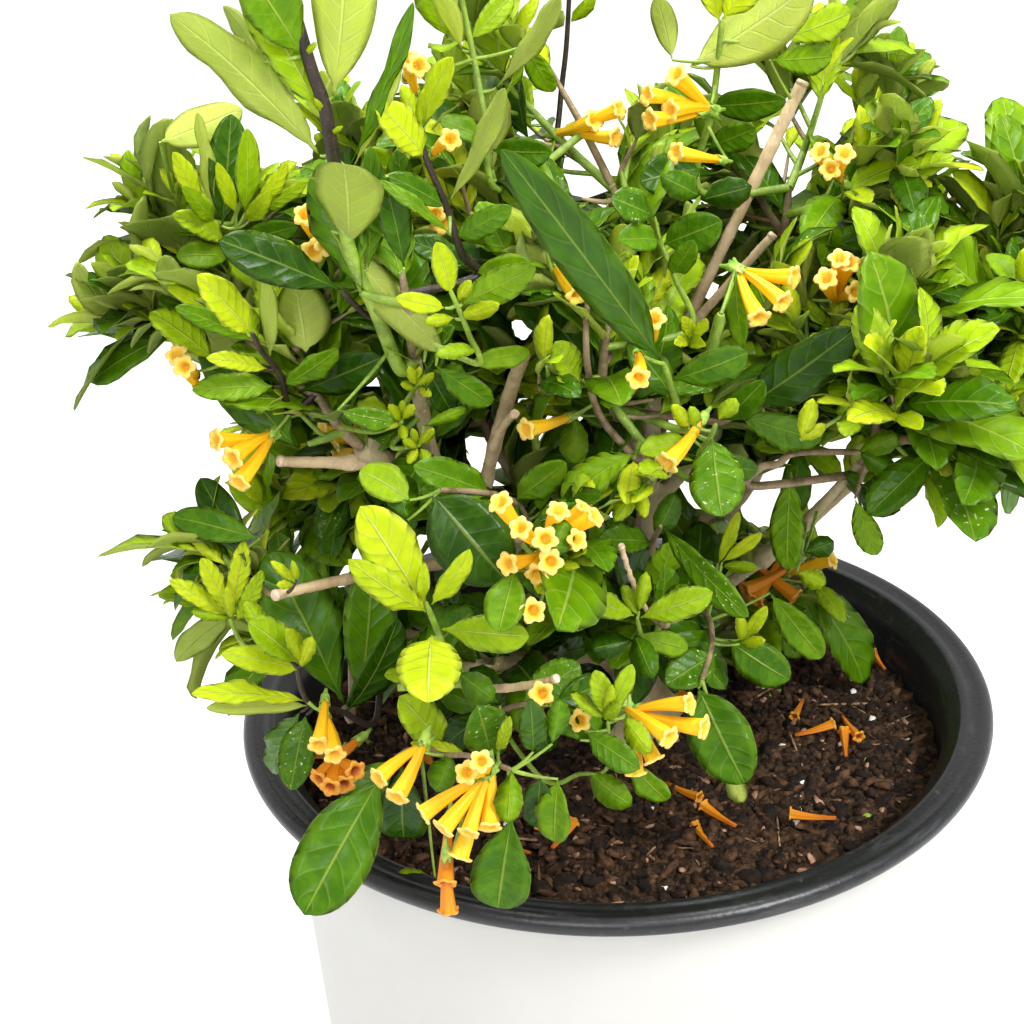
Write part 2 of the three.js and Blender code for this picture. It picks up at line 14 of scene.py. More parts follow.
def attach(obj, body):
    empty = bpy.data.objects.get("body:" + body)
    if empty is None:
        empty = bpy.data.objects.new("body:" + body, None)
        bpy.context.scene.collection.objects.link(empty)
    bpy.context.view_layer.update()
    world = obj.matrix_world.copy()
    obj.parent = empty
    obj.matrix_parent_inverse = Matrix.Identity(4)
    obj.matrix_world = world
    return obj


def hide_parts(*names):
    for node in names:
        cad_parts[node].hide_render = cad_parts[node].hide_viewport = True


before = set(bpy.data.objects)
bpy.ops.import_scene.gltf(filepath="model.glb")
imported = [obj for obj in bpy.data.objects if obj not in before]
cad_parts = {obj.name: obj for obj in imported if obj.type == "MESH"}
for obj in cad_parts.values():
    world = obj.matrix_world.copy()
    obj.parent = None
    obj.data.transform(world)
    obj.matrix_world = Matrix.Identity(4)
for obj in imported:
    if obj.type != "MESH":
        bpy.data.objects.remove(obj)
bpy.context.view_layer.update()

MM = 0.001
UP = np.array([0.0, 0.0, 1.0])
ACROSS = np.array([1.0, 0.0, 0.0])
WHOLE_TURN = 2 * math.pi
GOLDEN_ANGLE = math.radians(137.5)
BODY = "root"

# Camera: where it stands, in millimetres, and how it is turned
EYE = np.array([0.0, -550.6, 572.4])
LENS = 70.0
SENSOR = 36.0
PICTURE = 1024
PITCH = math.radians(26.72)
YAW = math.radians(-3.13)
ROLL = math.radians(-2.93)

# Pot
POT_HEIGHT = 230.0
RIM_RADIUS = 120.0
WALL_TOP_RADIUS = 107.0
FOOT_RADIUS = 96.0
WALL = 2.0
LIP_HEIGHT = 6.0
LIP_ROLL = 8.0
SLEEVE = 0.8
SLEEVE_GAP = 0.3
SLEEVE_BOTTOM = 6.0
FOOT_BEVEL = 3.0
POT_FLOOR = 2.5
DRAIN_HOLES = 6
DRAIN_SIZE = (16.0, 12.0, 9.0)
LIP_BOTTOM = POT_HEIGHT - LIP_HEIGHT

# Potting mix
SOIL_TOP = 212.0
SOIL_FLAT_RADIUS = 30.0
SOIL_EDGE_DROP = 3.0

# The rule for stems, shoots, leaves and blossom, as in the solids. A pair goes from root to tip.
GAP = 0.3
STEM_CREST = 0.3
STEM_LEAD = 0.45
SHOOT_RADIUS = (1.5, 0.7)
SHOOT_PLACES = (0.16, 0.97)
SHOOT_SAG = 0.14
SHOOT_SWAY = 0.16
SHOOT_CLEAR = 26.0
TIP_RISES = 1.8
TIP_TURN_SHIFT = 0.5
TIP_DEPTH = 0.15
INWARD_LIMIT = -0.55
BLOOM_SHARE = 0.2
LEAVES_PER_SHOOT = 8
LEAF_PLACES = (0.34, 0.96)
LEAF_CROWDING = 0.85
LEAF_SPREAD = (1.25, 0.45)
LEAF_RISE = 0.12
LEAF_LENGTH = 50.0
LEAF_SHRINK = 0.55
SHRINK_CURVE = 1.3
FACE_AHEAD = 0.7
FACE_UP = 0.8
CELL_SLACK = 0.22
MASS_SEEDS = 100
CROWN_HEART = np.array([0.0, 0.0, 300.0])
FLOWERS_PER_CLUSTER = 3
FLOWER_PLACE = 0.93
FLOWER_LENGTH = 21.0
FLOWER_DROOP = 0.28

# How the rule is carried on: true leaf sizes, side twigs and fuller clusters
TRUE_LEAF_SHARE = 0.92
SIDE_TWIG_PLACES = (0.12, 0.22, 0.32, 0.42, 0.52, 0.62, 0.72, 0.82, 0.9)
SIDE_TWIG_TRIES = 5
SIDE_TWIG_STEP = 0.7
SIDE_TWIG_SHARE = 0.42
SIDE_TWIG_FULL = 1.1
SIDE_TWIG_LOSS = 0.5
SIDE_TWIG_SPREAD = 0.85
SIDE_TWIG_RISE = 0.35
SIDE_TWIG_SAG = 0.08
SIDE_TWIG_RADIUS = (0.8, 0.5)
SIDE_TWIG_CHECKS = (0.3, 0.65, 1)
SIDE_LEAVES = 6
SIDE_LEAF_SHARE = 0.5
SIDE_LEAF_PLACES = (0.3, 1)
STEM_LEAVES = 20
STEM_LEAF_SIZE = 0.8
STEM_LEAF_PLACES = (0.1, 0.98)
BOUGH_LEAVES = 24
BOUGH_LEAF_SIZE = 0.7
BOUGH_LEAF_PLACES = (0.24, 0.99)
EXTRA_FLOWERS = 3
FLUSH_SHARE = 0.64
SUMMER_SHARE = 0.3
TWIG_STEM_RADIUS = (1.7, 0.9)
END_TAPER = 0.65

# What is drawn at random: the least value, and how much more it may be
SHOOT_SIZE = (0.85, 0.3)
SIDE_TWIG_REACH = (0.75, 0.5)
SIDE_LEAF_SIZE = (0.9, 0.5)
LEAF_SIZE = (0.88, 0.24)
LEAF_WIDTH = (0.4, 0.1)
LEAF_DROOP = (0.2, 0.7)
LEAF_FOLD = (0.12, 0.3)
LEAF_WAVE = (0.015, 0.03)
LEAF_BELLY = (0.48, 0.14)
FLOWER_SPREAD = (0.35, 0.3)
FLOWER_SIZE = (0.9, 0.2)
SHOWN_DROOP = (0.2, 0.4)
SHOWN_FOLD = (0.12, 0.2)
SHOWN_FLOWER_SIZE = (0.92, 0.16)
# How far apart the two sides are of what swings to either side at random
SPREAD_SWING = 0.3
LEAF_TWIST = 0.7
SHOWN_TWIST = 0.3

# How thin a limb's tip is beside its root, and how fast the trunk's flare fades
TRUNK_TAPER = 0.74
BOUGH_TAPER = 0.66
SIDE_BOUGH_TAPER = 0.78
STICK_TAPER = 0.86
FLARE_FADE = 9

# How thick limbs are beside their solids
BOUGH_FINENESS = 0.78
STICK_FINENESS = 0.64
LIMB_FINENESS = {"trunk": 1.0, "bough_left": 0.95, "bough_right": 0.5}

# Limbs, as in the solids: what each grows on and at which share of its length, the point that its curve is
# drawn to, its end and its radius
TRUNK = {
    "name": "trunk",
    "from": (6, 10, SOIL_TOP + GAP),
    "via": (4, 9, 238),
    "to": (9, 5, 262),
    "radius": 11.5,
    "flare": 6,
}


def limb(name, on, at, via, to, radius):
    return {"name": name, "on": on, "at": at, "via": via, "to": to, "radius": radius}


BOUGHS = [
    limb("bough_left", "trunk", 0.86, (-32, -8, 288), (-70, -38, 336), 5.2),
    limb("bough_front_left", "trunk", 0.42, (-25, -28, 260), (-54, -76, 282), 4.6),
    limb("bough_front", "trunk", 0.7, (0, -30, 281), (-18, -60, 312), 4.4),
    limb("bough_centre", "trunk", 1, (14, 8, 300), (14, 0, 352), 5),
    limb("bough_right", "trunk", 0.66, (44, -4, 268), (74, -20, 318), 4.8),
    limb("bough_back_right", "trunk", 0.5, (36, 42, 266), (58, 60, 322), 4.8),
    limb("bough_back_left", "trunk", 0.6, (-24, 42, 272), (-50, 54, 324), 4.8),
    limb("bough_back", "trunk", 0.8, (10, 46, 290), (6, 74, 334), 4.6),
    limb("bough_low_right", "trunk", 0.16, (28, 20, 231), (44, 32, 238), 3),
    limb("bough_low_back", "bough_back", 0.45, (16, 60, 284), (20, 78, 290), 3),
    limb("bough_low_left", "bough_back_left", 0.4, (-48, 36, 280), (-64, 34, 288), 3),
    limb("bough_left_upper", "bough_left", 0.72, (-52, -40, 342), (-51, -57, 370), 3.3),
    limb("bough_left_far", "bough_left", 0.5, (-66, -4, 318), (-92, -12, 344), 3.2),
    limb("bough_left_inner", "bough_left", 0.3, (-26, 8, 298), (-34, 8, 312), 2.9),
    limb("bough_left_low", "bough_front_left", 0.5, (-58, -32, 270), (-84, -50, 286), 3.1),
    limb("bough_front_right", "bough_front", 0.45, (14, -44, 282), (15, -60, 288), 2.9),
    limb("bough_centre_front", "bough_centre", 0.42, (6, -22, 336), (0, -44, 352), 3.1),
    limb("bough_right_top", "bough_centre", 0.36, (42, 16, 320), (52, 14, 366), 3.4),
    limb("bough_right_inner", "bough_back_right", 0.4, (48, 26, 288), (50, 20, 304), 2.9),
    limb("bough_right_far", "bough_right", 0.55, (82, 12, 300), (100, 6, 326), 3.2),
]
CUT_STICKS = [
    limb("cut_stick_right", "bough_centre", 0.8, (36, 9, 377), (59, 20, 421), 3.3),
    limb("cut_stick_middle", "bough_left", 0.6, (-33, -36, 336), (-22, -50, 368), 3.6),
    limb("cut_stick_left", "bough_left", 0.4, (-62, -50, 304), (-92, -77, 310), 3),
    limb("cut_stick_fork", "bough_centre", 0.88, (30, -4, 362), (49, -3, 383), 2.6),
]
# Short stubs that pruning left, finished here only
STUBS = [
    limb("stub_junction", "bough_left", 0.93, (-84, -44, 334), (-92, -48, 337), 2.5),
    limb("stub_small", "cut_stick_middle", 0.25, (-32, -42, 342), (-25, -54, 352), 2.0),
    limb("stub_front", "bough_front_right", 0.8, (8, -66, 294), (3, -76, 322), 1.4),
    limb("stub_low", "bough_front_left", 0.9, (-38, -92, 284), (-15, -104, 298), 1.9),
]

WOOD = [TRUNK, *BOUGHS]
PRUNED = [*CUT_STICKS, *STUBS]


def vector(numbers):
    return np.array(numbers, float)


def mass(name, bough, heart, reach, shoots):
    return Record(name=name, bough=bough, heart=vector(heart), reach=vector(reach), shoots=shoots)


# Masses of foliage, as in the solids: the bough, the heart, the reach and how many shoots
MASSES = [
    mass("leaves_left", "bough_left", (-86, -50, 366), (36, 36, 36), 8),
    mass("leaves_left_top", "bough_left_upper", (-56, -62, 424), (32, 34, 46), 6),
    mass("leaves_left_far", "bough_left_far", (-108, -2, 376), (34, 38, 44), 7),
    mass("leaves_left_low", "bough_left_low", (-106, -60, 302), (38, 38, 32), 8),
    mass("leaves_front_low", "bough_front_left", (-58, -98, 282), (40, 32, 34), 8),
    mass("leaves_front", "bough_front", (-30, -84, 334), (36, 32, 34), 8),
    mass("leaves_front_right", "bough_front_right", (4, -80, 298), (28, 30, 26), 7),
    mass("leaves_centre_front", "bough_centre_front", (2, -56, 374), (36, 34, 34), 7),
    mass("leaves_centre_top", "bough_centre", (-14, 4, 418), (38, 42, 50), 6),
    mass("leaves_right_top", "bough_right_top", (54, 8, 414), (40, 42, 44), 8),
    mass("leaves_right", "bough_right", (66, -46, 350), (36, 36, 38), 8),
    mass("leaves_right_far", "bough_right_far", (110, 2, 352), (36, 44, 46), 7),
    mass("leaves_right_inner", "bough_right_inner", (48, 12, 330), (30, 30, 30), 6),
    mass("leaves_left_inner", "bough_left_inner", (-42, 2, 340), (32, 32, 36), 7),
    mass("leaves_back_left", "bough_back_left", (-62, 62, 366), (46, 42, 52), 7),
    mass("leaves_back", "bough_back", (6, 84, 374), (40, 38, 54), 6),
    mass("leaves_back_right", "bough_back_right", (72, 66, 360), (44, 42, 54), 7),
    mass("leaves_low_left", "bough_low_left", (-84, 38, 300), (38, 38, 28), 6),
    mass("leaves_low_back", "bough_low_back", (14, 102, 300), (40, 28, 28), 6),
    mass("leaves_low_right", "bough_low_right", (64, 48, 256), (34, 32, 26), 5),
]


# Tips of shoots that stand out, as in the solids: the place, whether it blooms, and its size
SHOWN_TIPS = [
    ((-68, -74, 482), False, 1.5),
    ((-41, -62, 444), False, 0.9),
    ((-100, -30, 422), False, 0.9),
    ((-96, -72, 396), False, 1.1),
    ((-33, -8, 470), False, 1),
    ((-5, 22, 480), False, 0.8),
    ((60, 14, 470), False, 1.3),
    ((-33, -84, 400), False, 0.8),
    ((20, -64, 382), False, 1.2),
    ((2, 8, 418), True, 0.8),
    ((24, 12, 424), True, 0.8),
    ((44, -26, 378), True, 0.8),
    ((-22, -104, 336), True, 0.9),
    ((-47, -112, 332), False, 1),
    ((-108, -62, 346), True, 0.9),
    ((-112, -86, 290), False, 0.9),
    ((-112, -58, 316), False, 0.9),
    ((-80, -94, 284), True, 1),
    ((-40, -120, 284), True, 0.8),
    ((-62, -120, 270), False, 0.9),
    ((10, -106, 286), True, 0.9),
    ((28, -84, 280), False, 1),
    ((24, -74, 336), False, 0.9),
]


# Directions and curves
def unit(direction):
    return direction / np.linalg.norm(direction, axis=-1, keepdims=True)


def mix(pair, share):
    return pair[0] + (pair[1] - pair[0]) * share


def around(direction, angle):
    """A direction square to another, turned round it by an angle"""
    reference = ACROSS if abs(direction[2]) > 0.95 else UP
    side = unit(np.cross(direction, reference))
    return side * math.cos(angle) + np.cross(direction, side) * math.sin(angle)


def spread_from(direction, turn, angle):
    """A direction that leaves another by an angle, turned round it"""
    return direction * math.cos(angle) + around(direction, turn) * math.sin(angle)


def square_to(direction, axis):
    """The part of one direction that is square to another"""
    return unit(direction - axis * direction.dot(axis))


def stream(seed):
    """Random numbers from 0 to 1, the same for the same seed as in the solids"""
    whole = 0xFFFFFFFF
    state = [seed & whole]

    def draw():
        state[0] = (state[0] + 0x6D2B79F5) & whole
        mixed = ((state[0] ^ (state[0] >> 15)) * (state[0] | 1)) & whole
        mixed ^= (mixed + (mixed ^ (mixed >> 7)) * (mixed | 61)) & whole
        return (mixed ^ (mixed >> 14)) / 2**32

    return draw


def within(random, span):
    """A random number from a least value up to so much more"""
    return span[0] + span[1] * random()


def swing(random, width):
    """A random number to either side of 0"""
    return (random() - 0.5) * width


class Bend:
    """A curve from a start to an end, drawn towards a third point"""

    def __init__(self, start, via, end):
        self.start, self.via, self.end = vector(start), vector(via), vector(end)

    def point(self, share):
        share = np.asarray(share, float)[..., None]
        rest = 1 - share
        return rest**2 * self.start + 2 * rest * share * self.via + share**2 * self.end

    def heading(self, share):
        return unit((1 - share) * (self.via - self.start) + share * (self.end - self.via))

    def length(self):
        line = self.point(np.linspace(0, 1, 13))
        return float(np.linalg.norm(np.diff(line, axis=0), axis=1).sum())


class Path:
    """A smooth curve through several points"""

    def __init__(self, points):
        self.points = vector(points)

    def point(self, share):
        spans = len(self.points) - 1
        place = np.clip(np.asarray(share, float), 0, 1) * spans
        first = np.minimum(place.astype(int), spans - 1)
        part = (place - first)[..., None]
        last = len(self.points) - 1
        before = self.points[np.maximum(first - 1, 0)]
        start = self.points[first]
        end = self.points[np.minimum(first + 1, last)]
        after = self.points[np.minimum(first + 2, last)]
        bend = 2 * before - 5 * start + 4 * end - after
        turn = 3 * start - before - 3 * end + after
        return 0.5 * (2 * start + (end - before) * part + bend * part**2 + turn * part**3)


# The picture
def camera_axes():
    """Which way the camera looks, and the picture's right and its top"""
    ahead = vector((math.sin(YAW) * math.cos(PITCH), math.cos(YAW) * math.cos(PITCH), -math.sin(PITCH)))
    level = unit(np.cross(ahead, UP))
    above = np.cross(level, ahead)
    right = math.cos(ROLL) * level + math.sin(ROLL) * above
    return ahead, right, np.cross(right, ahead)


AHEAD, RIGHT, ABOVE = camera_axes()
PIXELS = LENS / SENSOR * PICTURE


def in_picture(places):
    """Where places show in the picture, in pixels, and how far away they are"""
    away = np.atleast_2d(places) - EYE
    far = away @ AHEAD
    half = PICTURE / 2
    return np.stack([half + PIXELS * (away @ RIGHT) / far, half - PIXELS * (away @ ABOVE) / far, far], 1)


def behind_pixel(spot):
    """The place that shows at a spot of the picture: right, down, and its y in millimetres"""
    right, down, y = spot
    half = PICTURE / 2
    line = AHEAD + (right - half) / PIXELS * RIGHT - (down - half) / PIXELS * ABOVE
    return EYE + line * (y - EYE[1]) / line[1]


# Limbs
def taper_of(one):
    if one is TRUNK:
        return TRUNK_TAPER
    if one in PRUNED:
        return STICK_TAPER
    return BOUGH_TAPER if one["on"] == "trunk" else SIDE_BOUGH_TAPER


limb_curves = {}
for one in [*WOOD, *PRUNED]:
    start = limb_curves[one["on"]].point(one["at"]) if "on" in one else one["from"]
    limb_curves[one["name"]] = Bend(start, one["via"], one["to"])


def curve_of(one):
    return limb_curves[one["name"]]


def limb_radius(one, share):
    """As thick as in the photograph, where most limbs are finer than their solids"""
    flare = one.get("flare", 0) * np.exp(-FLARE_FADE * share)
    fineness = STICK_FINENESS if one in CUT_STICKS else LIMB_FINENESS.get(one["name"], BOUGH_FINENESS)
    return one["radius"] * fineness * mix((1, taper_of(one)), share) + flare


# The growth rule. A place's distance from a mass counts its reach as 1.
hearts = np.array([m.heart for m in MASSES])
reaches = np.array([m.reach for m in MASSES])


def distances(place):
    return np.linalg.norm((place - hearts) / reaches, axis=1)


def nearest_mass(place):
    return MASSES[int(np.argmin(distances(place)))]


def holds(index, place):
    far = distances(place)
    own = far[index] - CELL_SLACK
    return bool(np.all(own < np.delete(far, index)))


def stem_of(m):
    bough = limb_curves[m.bough]
    heading = bough.heading(1)
    root = bough.point(1) + heading * GAP
    crest = m.heart + UP * STEM_CREST * m.reach[2]
    via = root + heading * STEM_LEAD * np.linalg.norm(root - m.heart)
    return Bend(root, via, crest)


def direction_of(index, count, jitter):
    rise = 1 - ((index + 0.5) / count) * TIP_RISES
    turn = index * GOLDEN_ANGLE + jitter * TIP_TURN_SHIFT
    level = math.sqrt(1 - rise * rise)
    return vector((level * math.cos(turn), level * math.sin(turn), rise))


def tips_of(m, random):
    outwards = unit(m.heart - CROWN_HEART)
    tips = [Record(place=vector(place), bloom=bloom, size=size) for place, bloom, size in SHOWN_TIPS]
    tips = [tip for tip in tips if nearest_mass(tip.place) is m]
    for i in range(m.shoots):
        direction = direction_of(i, m.shoots, random())
        reach = 1 - TIP_DEPTH * random()
        bloom = random() < BLOOM_SHARE
        size = within(random, SHOOT_SIZE)
        if direction.dot(outwards) < INWARD_LIMIT:
            continue
        place = direction * m.reach * reach + m.heart
        if any(np.linalg.norm(tip.place - place) < SHOOT_CLEAR for tip in tips):
            continue
        tips.append(Record(place=place, bloom=bloom, size=size))
    return sorted(tips, key=lambda tip: tip.place[2])


def shoot_of(stem, tip, rank, random):
    start = stem.point(mix(SHOOT_PLACES, rank))
    span = np.linalg.norm(start - tip.place)
    via = (start + tip.place) / 2 - UP * SHOOT_SAG * span
    via[0] += swing(random, SHOOT_SWAY) * span
    via[1] += swing(random, SHOOT_SWAY) * span
    return Bend(start, via, tip.place)


# What grows: leaves by kind, flowers, and twigs by their bark
leaves = []
flowers = []
twigs = []


def add_twig(curve, girth, bark, steps=7, stretch=(0, 1), carrier=None, at=0.0, stays=False, shown=False):
    """A twig on its carrier, at a share of the carrier's length. Its end and how much of it is used are
    shares of its own length."""
    shares = np.linspace(*stretch, steps)
    twig = Record(line=curve.point(shares), girth=mix(girth, shares), bark=bark, shares=shares)
    vars(twig).update(carrier=carrier, at=at, stays=stays, shown=shown, end=1.0, used=0.0)
    twigs.append(twig)
    return twig


def add_leaf(root, direction, face, length, kind, random, shown=False, **shape):
    leaf = Record(
        width=within(random, LEAF_WIDTH),
        droop=within(random, LEAF_DROOP),
        fold=within(random, LEAF_FOLD),
        wave=within(random, LEAF_WAVE),
        twist=swing(random, LEAF_TWIST),
        phase=random(),
        belly=within(random, LEAF_BELLY),
    )
    vars(leaf).update(root=root, direction=direction, face=face, length=length, kind=kind)
    vars(leaf).update(shown=shown, carrier=None, at=0.0)
    vars(leaf).update(shape)
    leaves.append(leaf)


def add_flower(root, direction, length, random, carrier=None, faded=False, shown=False):
    flower = Record(root=root, aim=direction, size=length / FLOWER_LENGTH, turn=random() * WHOLE_TURN)
    vars(flower).update(carrier=carrier, at=FLOWER_PLACE, faded=faded, shown=shown)
    flowers.append(flower)


# A spray's kinds of leaf, from its root to its tip
KIND_STEPS = {
    "flush": ("deep", "green", "green", "fresh", "fresh", "lime", "lime", "lime"),
    "summer": ("deep", "dark", "green", "speckled", "green", "fresh", "fresh", "lime"),
    "old": ("dark", "deep", "green", "dark", "deep", "speckled", "green", "fresh"),
}


def spray_kind(random):
    chance = random()
    if chance < FLUSH_SHARE:
        return "flush"
    return "summer" if chance < FLUSH_SHARE + SUMMER_SHARE else "old"


def bark_of(spray):
    return "green" if spray == "flush" else "brown"


def grow_leaves(shoot, size, places, count, spray, random, carrier=None):
    """Leaves in a spiral along a shoot, smaller and steeper towards its tip"""
    first = random() * WHOLE_TURN
    for i in range(count):
        age = i / (count - 1)
        share = mix(places, age**LEAF_CROWDING)
        base = shoot.point(share)
        heading = shoot.heading(share)
        spread = mix(LEAF_SPREAD, age) + swing(random, SPREAD_SWING)
        shrunk = 1 - LEAF_SHRINK * age**SHRINK_CURVE
        length = LEAF_LENGTH * TRUE_LEAF_SHARE * size * shrunk * within(random, LEAF_SIZE)
        lit = heading * FACE_AHEAD + UP * FACE_UP
        direction = spread_from(heading, first + i * GOLDEN_ANGLE, spread)
        direction = unit(direction + UP * LEAF_RISE)
        kinds = KIND_STEPS[spray]
        kind = kinds[min(len(kinds) - 1, int(age * len(kinds)))]
        face = square_to(lit, direction)
        add_leaf(base, direction, face, length, kind, random, carrier=carrier, at=share)


def grow_flowers(shoot, random, carrier):
    """Blossom hangs outwards and down from just below the tip, in a loose cluster"""
    base = shoot.point(FLOWER_PLACE)
    hang = base - CROWN_HEART
    hang[2] = 0
    hang = unit(unit(hang) - UP * FLOWER_DROOP)
    for i in range(FLOWERS_PER_CLUSTER + EXTRA_FLOWERS):
        spread = within(random, FLOWER_SPREAD)
        direction = spread_from(hang, i * GOLDEN_ANGLE + random(), spread)
        add_flower(base, direction, FLOWER_LENGTH * within(random, FLOWER_SIZE), random, carrier)


def grow_side_twigs(index, shoot, size, random, carrier):
    """Twigs from a shoot's axils, each with a small spray of leaves, kept to the mass's space"""
    first = random() * WHOLE_TURN
    span = shoot.length()
    for i, share in enumerate(SIDE_TWIG_PLACES):
        start = shoot.point(share)
        shorter = SIDE_TWIG_FULL - SIDE_TWIG_LOSS * share
        reach = span * SIDE_TWIG_SHARE * shorter * within(random, SIDE_TWIG_REACH)
        spray = spray_kind(random)
        twig = None
        for attempt in range(SIDE_TWIG_TRIES):
            turn = first + (i + attempt * SIDE_TWIG_STEP) * GOLDEN_ANGLE
            direction = spread_from(shoot.heading(share), turn, SIDE_TWIG_SPREAD)
            direction = unit(direction + UP * SIDE_TWIG_RISE)
            end = start + direction * reach
            tried = Bend(start, start + direction * reach * 0.5 - UP * reach * SIDE_TWIG_SAG, end)
            if holds(index, end) and not blocks(tried.point(SIDE_TWIG_CHECKS)).any():
                twig = tried
                break
        if twig is None:
            continue
        grown = add_twig(twig, SIDE_TWIG_RADIUS, bark_of(spray), steps=5, carrier=carrier, at=share)
        leaf_size = size * SIDE_LEAF_SHARE * within(random, SIDE_LEAF_SIZE)
        grow_leaves(twig, leaf_size, SIDE_LEAF_PLACES, SIDE_LEAVES, spray, random, grown)


def grow_mass(index, m):
    """A mass's stem, shoots, side twigs, leaves and blossom. Its seeds are those of the solids."""
    stem = stem_of(m)
    stem_twig = add_twig(stem, TWIG_STEM_RADIUS, "brown", stays=True)
    tips = tips_of(m, stream(index + 1))
    for rank, tip in enumerate(tips):
        random = stream((index + 1) * MASS_SEEDS + rank)
        place = (rank + 0.5) / len(tips)
        shoot = shoot_of(stem, tip, place, random)
        if not (holds(index, shoot.point(0.5)) and holds(index, shoot.point(1))):
            continue
        if stands_for_shown(tip.place):
            continue
        spray = spray_kind(random)
        start = mix(SHOOT_PLACES, place)
        twig = add_twig(shoot, SHOOT_RADIUS, bark_of(spray), steps=9, carrier=stem_twig, at=start)
        grow_leaves(shoot, tip.size, LEAF_PLACES, LEAVES_PER_SHOOT, spray, random, twig)
        if tip.bloom:
            grow_flowers(shoot, random, twig)
        grow_side_twigs(index, shoot, tip.size, random, twig)
    random = stream((index + 1) * MASS_SEEDS + MASS_SEEDS - 1)
    grow_leaves(stem, STEM_LEAF_SIZE, STEM_LEAF_PLACES, STEM_LEAVES, "summer", random, stem_twig)
    bough = limb_curves[m.bough]
    grow_leaves(bough, BOUGH_LEAF_SIZE, BOUGH_LEAF_PLACES, BOUGH_LEAVES, "old", random)


# Shoots that stand out from the front: how thick at root and tip, the bark, the path and the leaves. A path
# starts on the nearest limb, and goes on through spots of the picture: right, down, and the place's y. A
# leaf has its root's spot, right and down, then its tip's, how far its tip leans away from the camera, its
# width in pixels, its kind, and how far it is rolled, in degrees: at 0 its top faces the camera, and at 180
# its underside does.
SHOWN_SHOOTS = []


def shown_shoot(name, girth, bark, path, *shoot_leaves):
    SHOWN_SHOOTS.append(Record(name=name, path=path, girth=girth, bark=bark, leaves=shoot_leaves))


shown_shoot(
    "bare_twig", (1.3, 0.8), "brown",
    [(642, 460, -34), (624, 446, -44), (598, 412, -54), (588, 370, -58), (586, 330, -60), (588, 292, -62)],
)
shown_shoot(
    "right_thin_branch", (1.4, 0.9), "brown",
    [(752, 486, -44), (760, 468, -44), (778, 464, -42), (797, 453, -38), (860, 452, -30)],
    (858, 452, 900, 434, -4, 26, "green", 15), (860, 452, 896, 472, 0, 24, "deep", 15),
)
shown_shoot(
    "tall_left", (2.1, 1.5), "green to purple",
    [(400, 368, -60), (376, 312, -64), (349, 247, -68), (333, 154, -71), (324, 104, -72), (311, 68, -72),
     (291, -2, -72), (284, -40, -72)],
    (320, 156, 170, 14, -12, 54, "fresh", 152), (303, 56, 240, -40, -8, 58, "green", 12),
    (320, 112, 238, -30, 4, 50, "fresh", 15), (262, 62, 223, 6, 14, 22, "deep", 150),
    (304, 56, 317, 42, -4, 7, "lime", 0), (324, 112, 314, 98, -4, 7, "lime", 0),
    (331, 134, 343, 126, -4, 6, "lime", 0), (333, 97, 345, -62, -14, 68, "lime", 165),
    (349, 168, 413, 2, -12, 21, "deep", 30), (353, 168, 404, 40, -8, 17, "lime", 150),
    (349, 249, 344, 164, -22, 70, "fresh", 168), (368, 268, 370, 146, 8, 34, "deep", 25),
    (404, 268, 384, 176, -2, 34, "dark", 12), (450, 234, 377, 180, -4, 15, "green", 20),
    (331, 231, 442, 351, 4, 41, "fresh", 165), (290, -20, 250, -110, -8, 50, "lime", 20),
    (286, -34, 300, -122, -4, 44, "lime", -30), (288, -26, 345, -110, 10, 44, "fresh", 150),
)
shown_shoot(
    "upper_left_shoot", (1.3, 0.7), "purple",
    [(478, 276, -52), (462, 254, -56), (447, 208, -60), (426, 158, -64), (421, 128, -64)],
    (424, 156, 375, 102, -12, 40, "lime", 20), (422, 127, 453, 57, -8, 30, "lime", -25),
    (420, 134, 401, 84, 4, 20, "lime", 25), (420, 130, 424, 88, -4, 14, "lime", 0),
    (449, 202, 505, 88, -12, 25, "fresh", 150), (447, 208, 388, 176, -8, 26, "deep", 20),
    (455, 238, 512, 206, -4, 28, "deep", 10), (470, 266, 408, 240, 0, 30, "dark", 20),
    (474, 272, 530, 262, -4, 30, "green", 20),
)
shown_shoot(
    "olive_top_shoot", (1.2, 0.7), "green",
    [(499, 190, -16), (485, 118, -14), (474, 59, -10), (462, 0, -8), (455, -40, -8)],
    (462, 50, 438, -6, -8, 24, "lime", 150), (496, 88, 560, -4, -12, 27, "fresh", 150),
    (526, 45, 553, 92, 6, 26, "green", 15), (487, 124, 526, 45, 4, 18, "green", 60),
    (460, -10, 420, -50, -6, 28, "lime", 20), (457, -30, 480, -90, 0, 30, "lime", -20),
    (470, 40, 512, -6, 8, 26, "fresh", 10), (492, 150, 552, 152, -4, 34, "deep", 15),
    (490, 140, 440, 120, -4, 26, "green", 15), (497, 180, 560, 196, -2, 36, "dark", 10),
)
shown_shoot(
    "thin_dark_shoot", (1.0, 0.6), "purple",
    [(556, 200, 10), (560, 106, 18), (566, 50, 20), (569, 0, 20), (571, -50, 22)],
    (571, 22, 594, -6, -6, 18, "fresh", 30), (570, -24, 600, -74, -6, 26, "green", 20),
    (571, -46, 545, -90, 4, 24, "fresh", -20), (571, -48, 580, -112, -2, 22, "lime", 0),
)
shown_shoot(
    "big_leaf_shoot", (1.3, 0.9), "green",
    [(682, 430, -48), (678, 408, -56), (664, 364, -64)],
    (662, 362, 501, 149, -34, 56, "dark", 6), (670, 380, 748, 352, -6, 40, "deep", 20),
    (674, 398, 628, 340, 6, 34, "deep", 10),
)
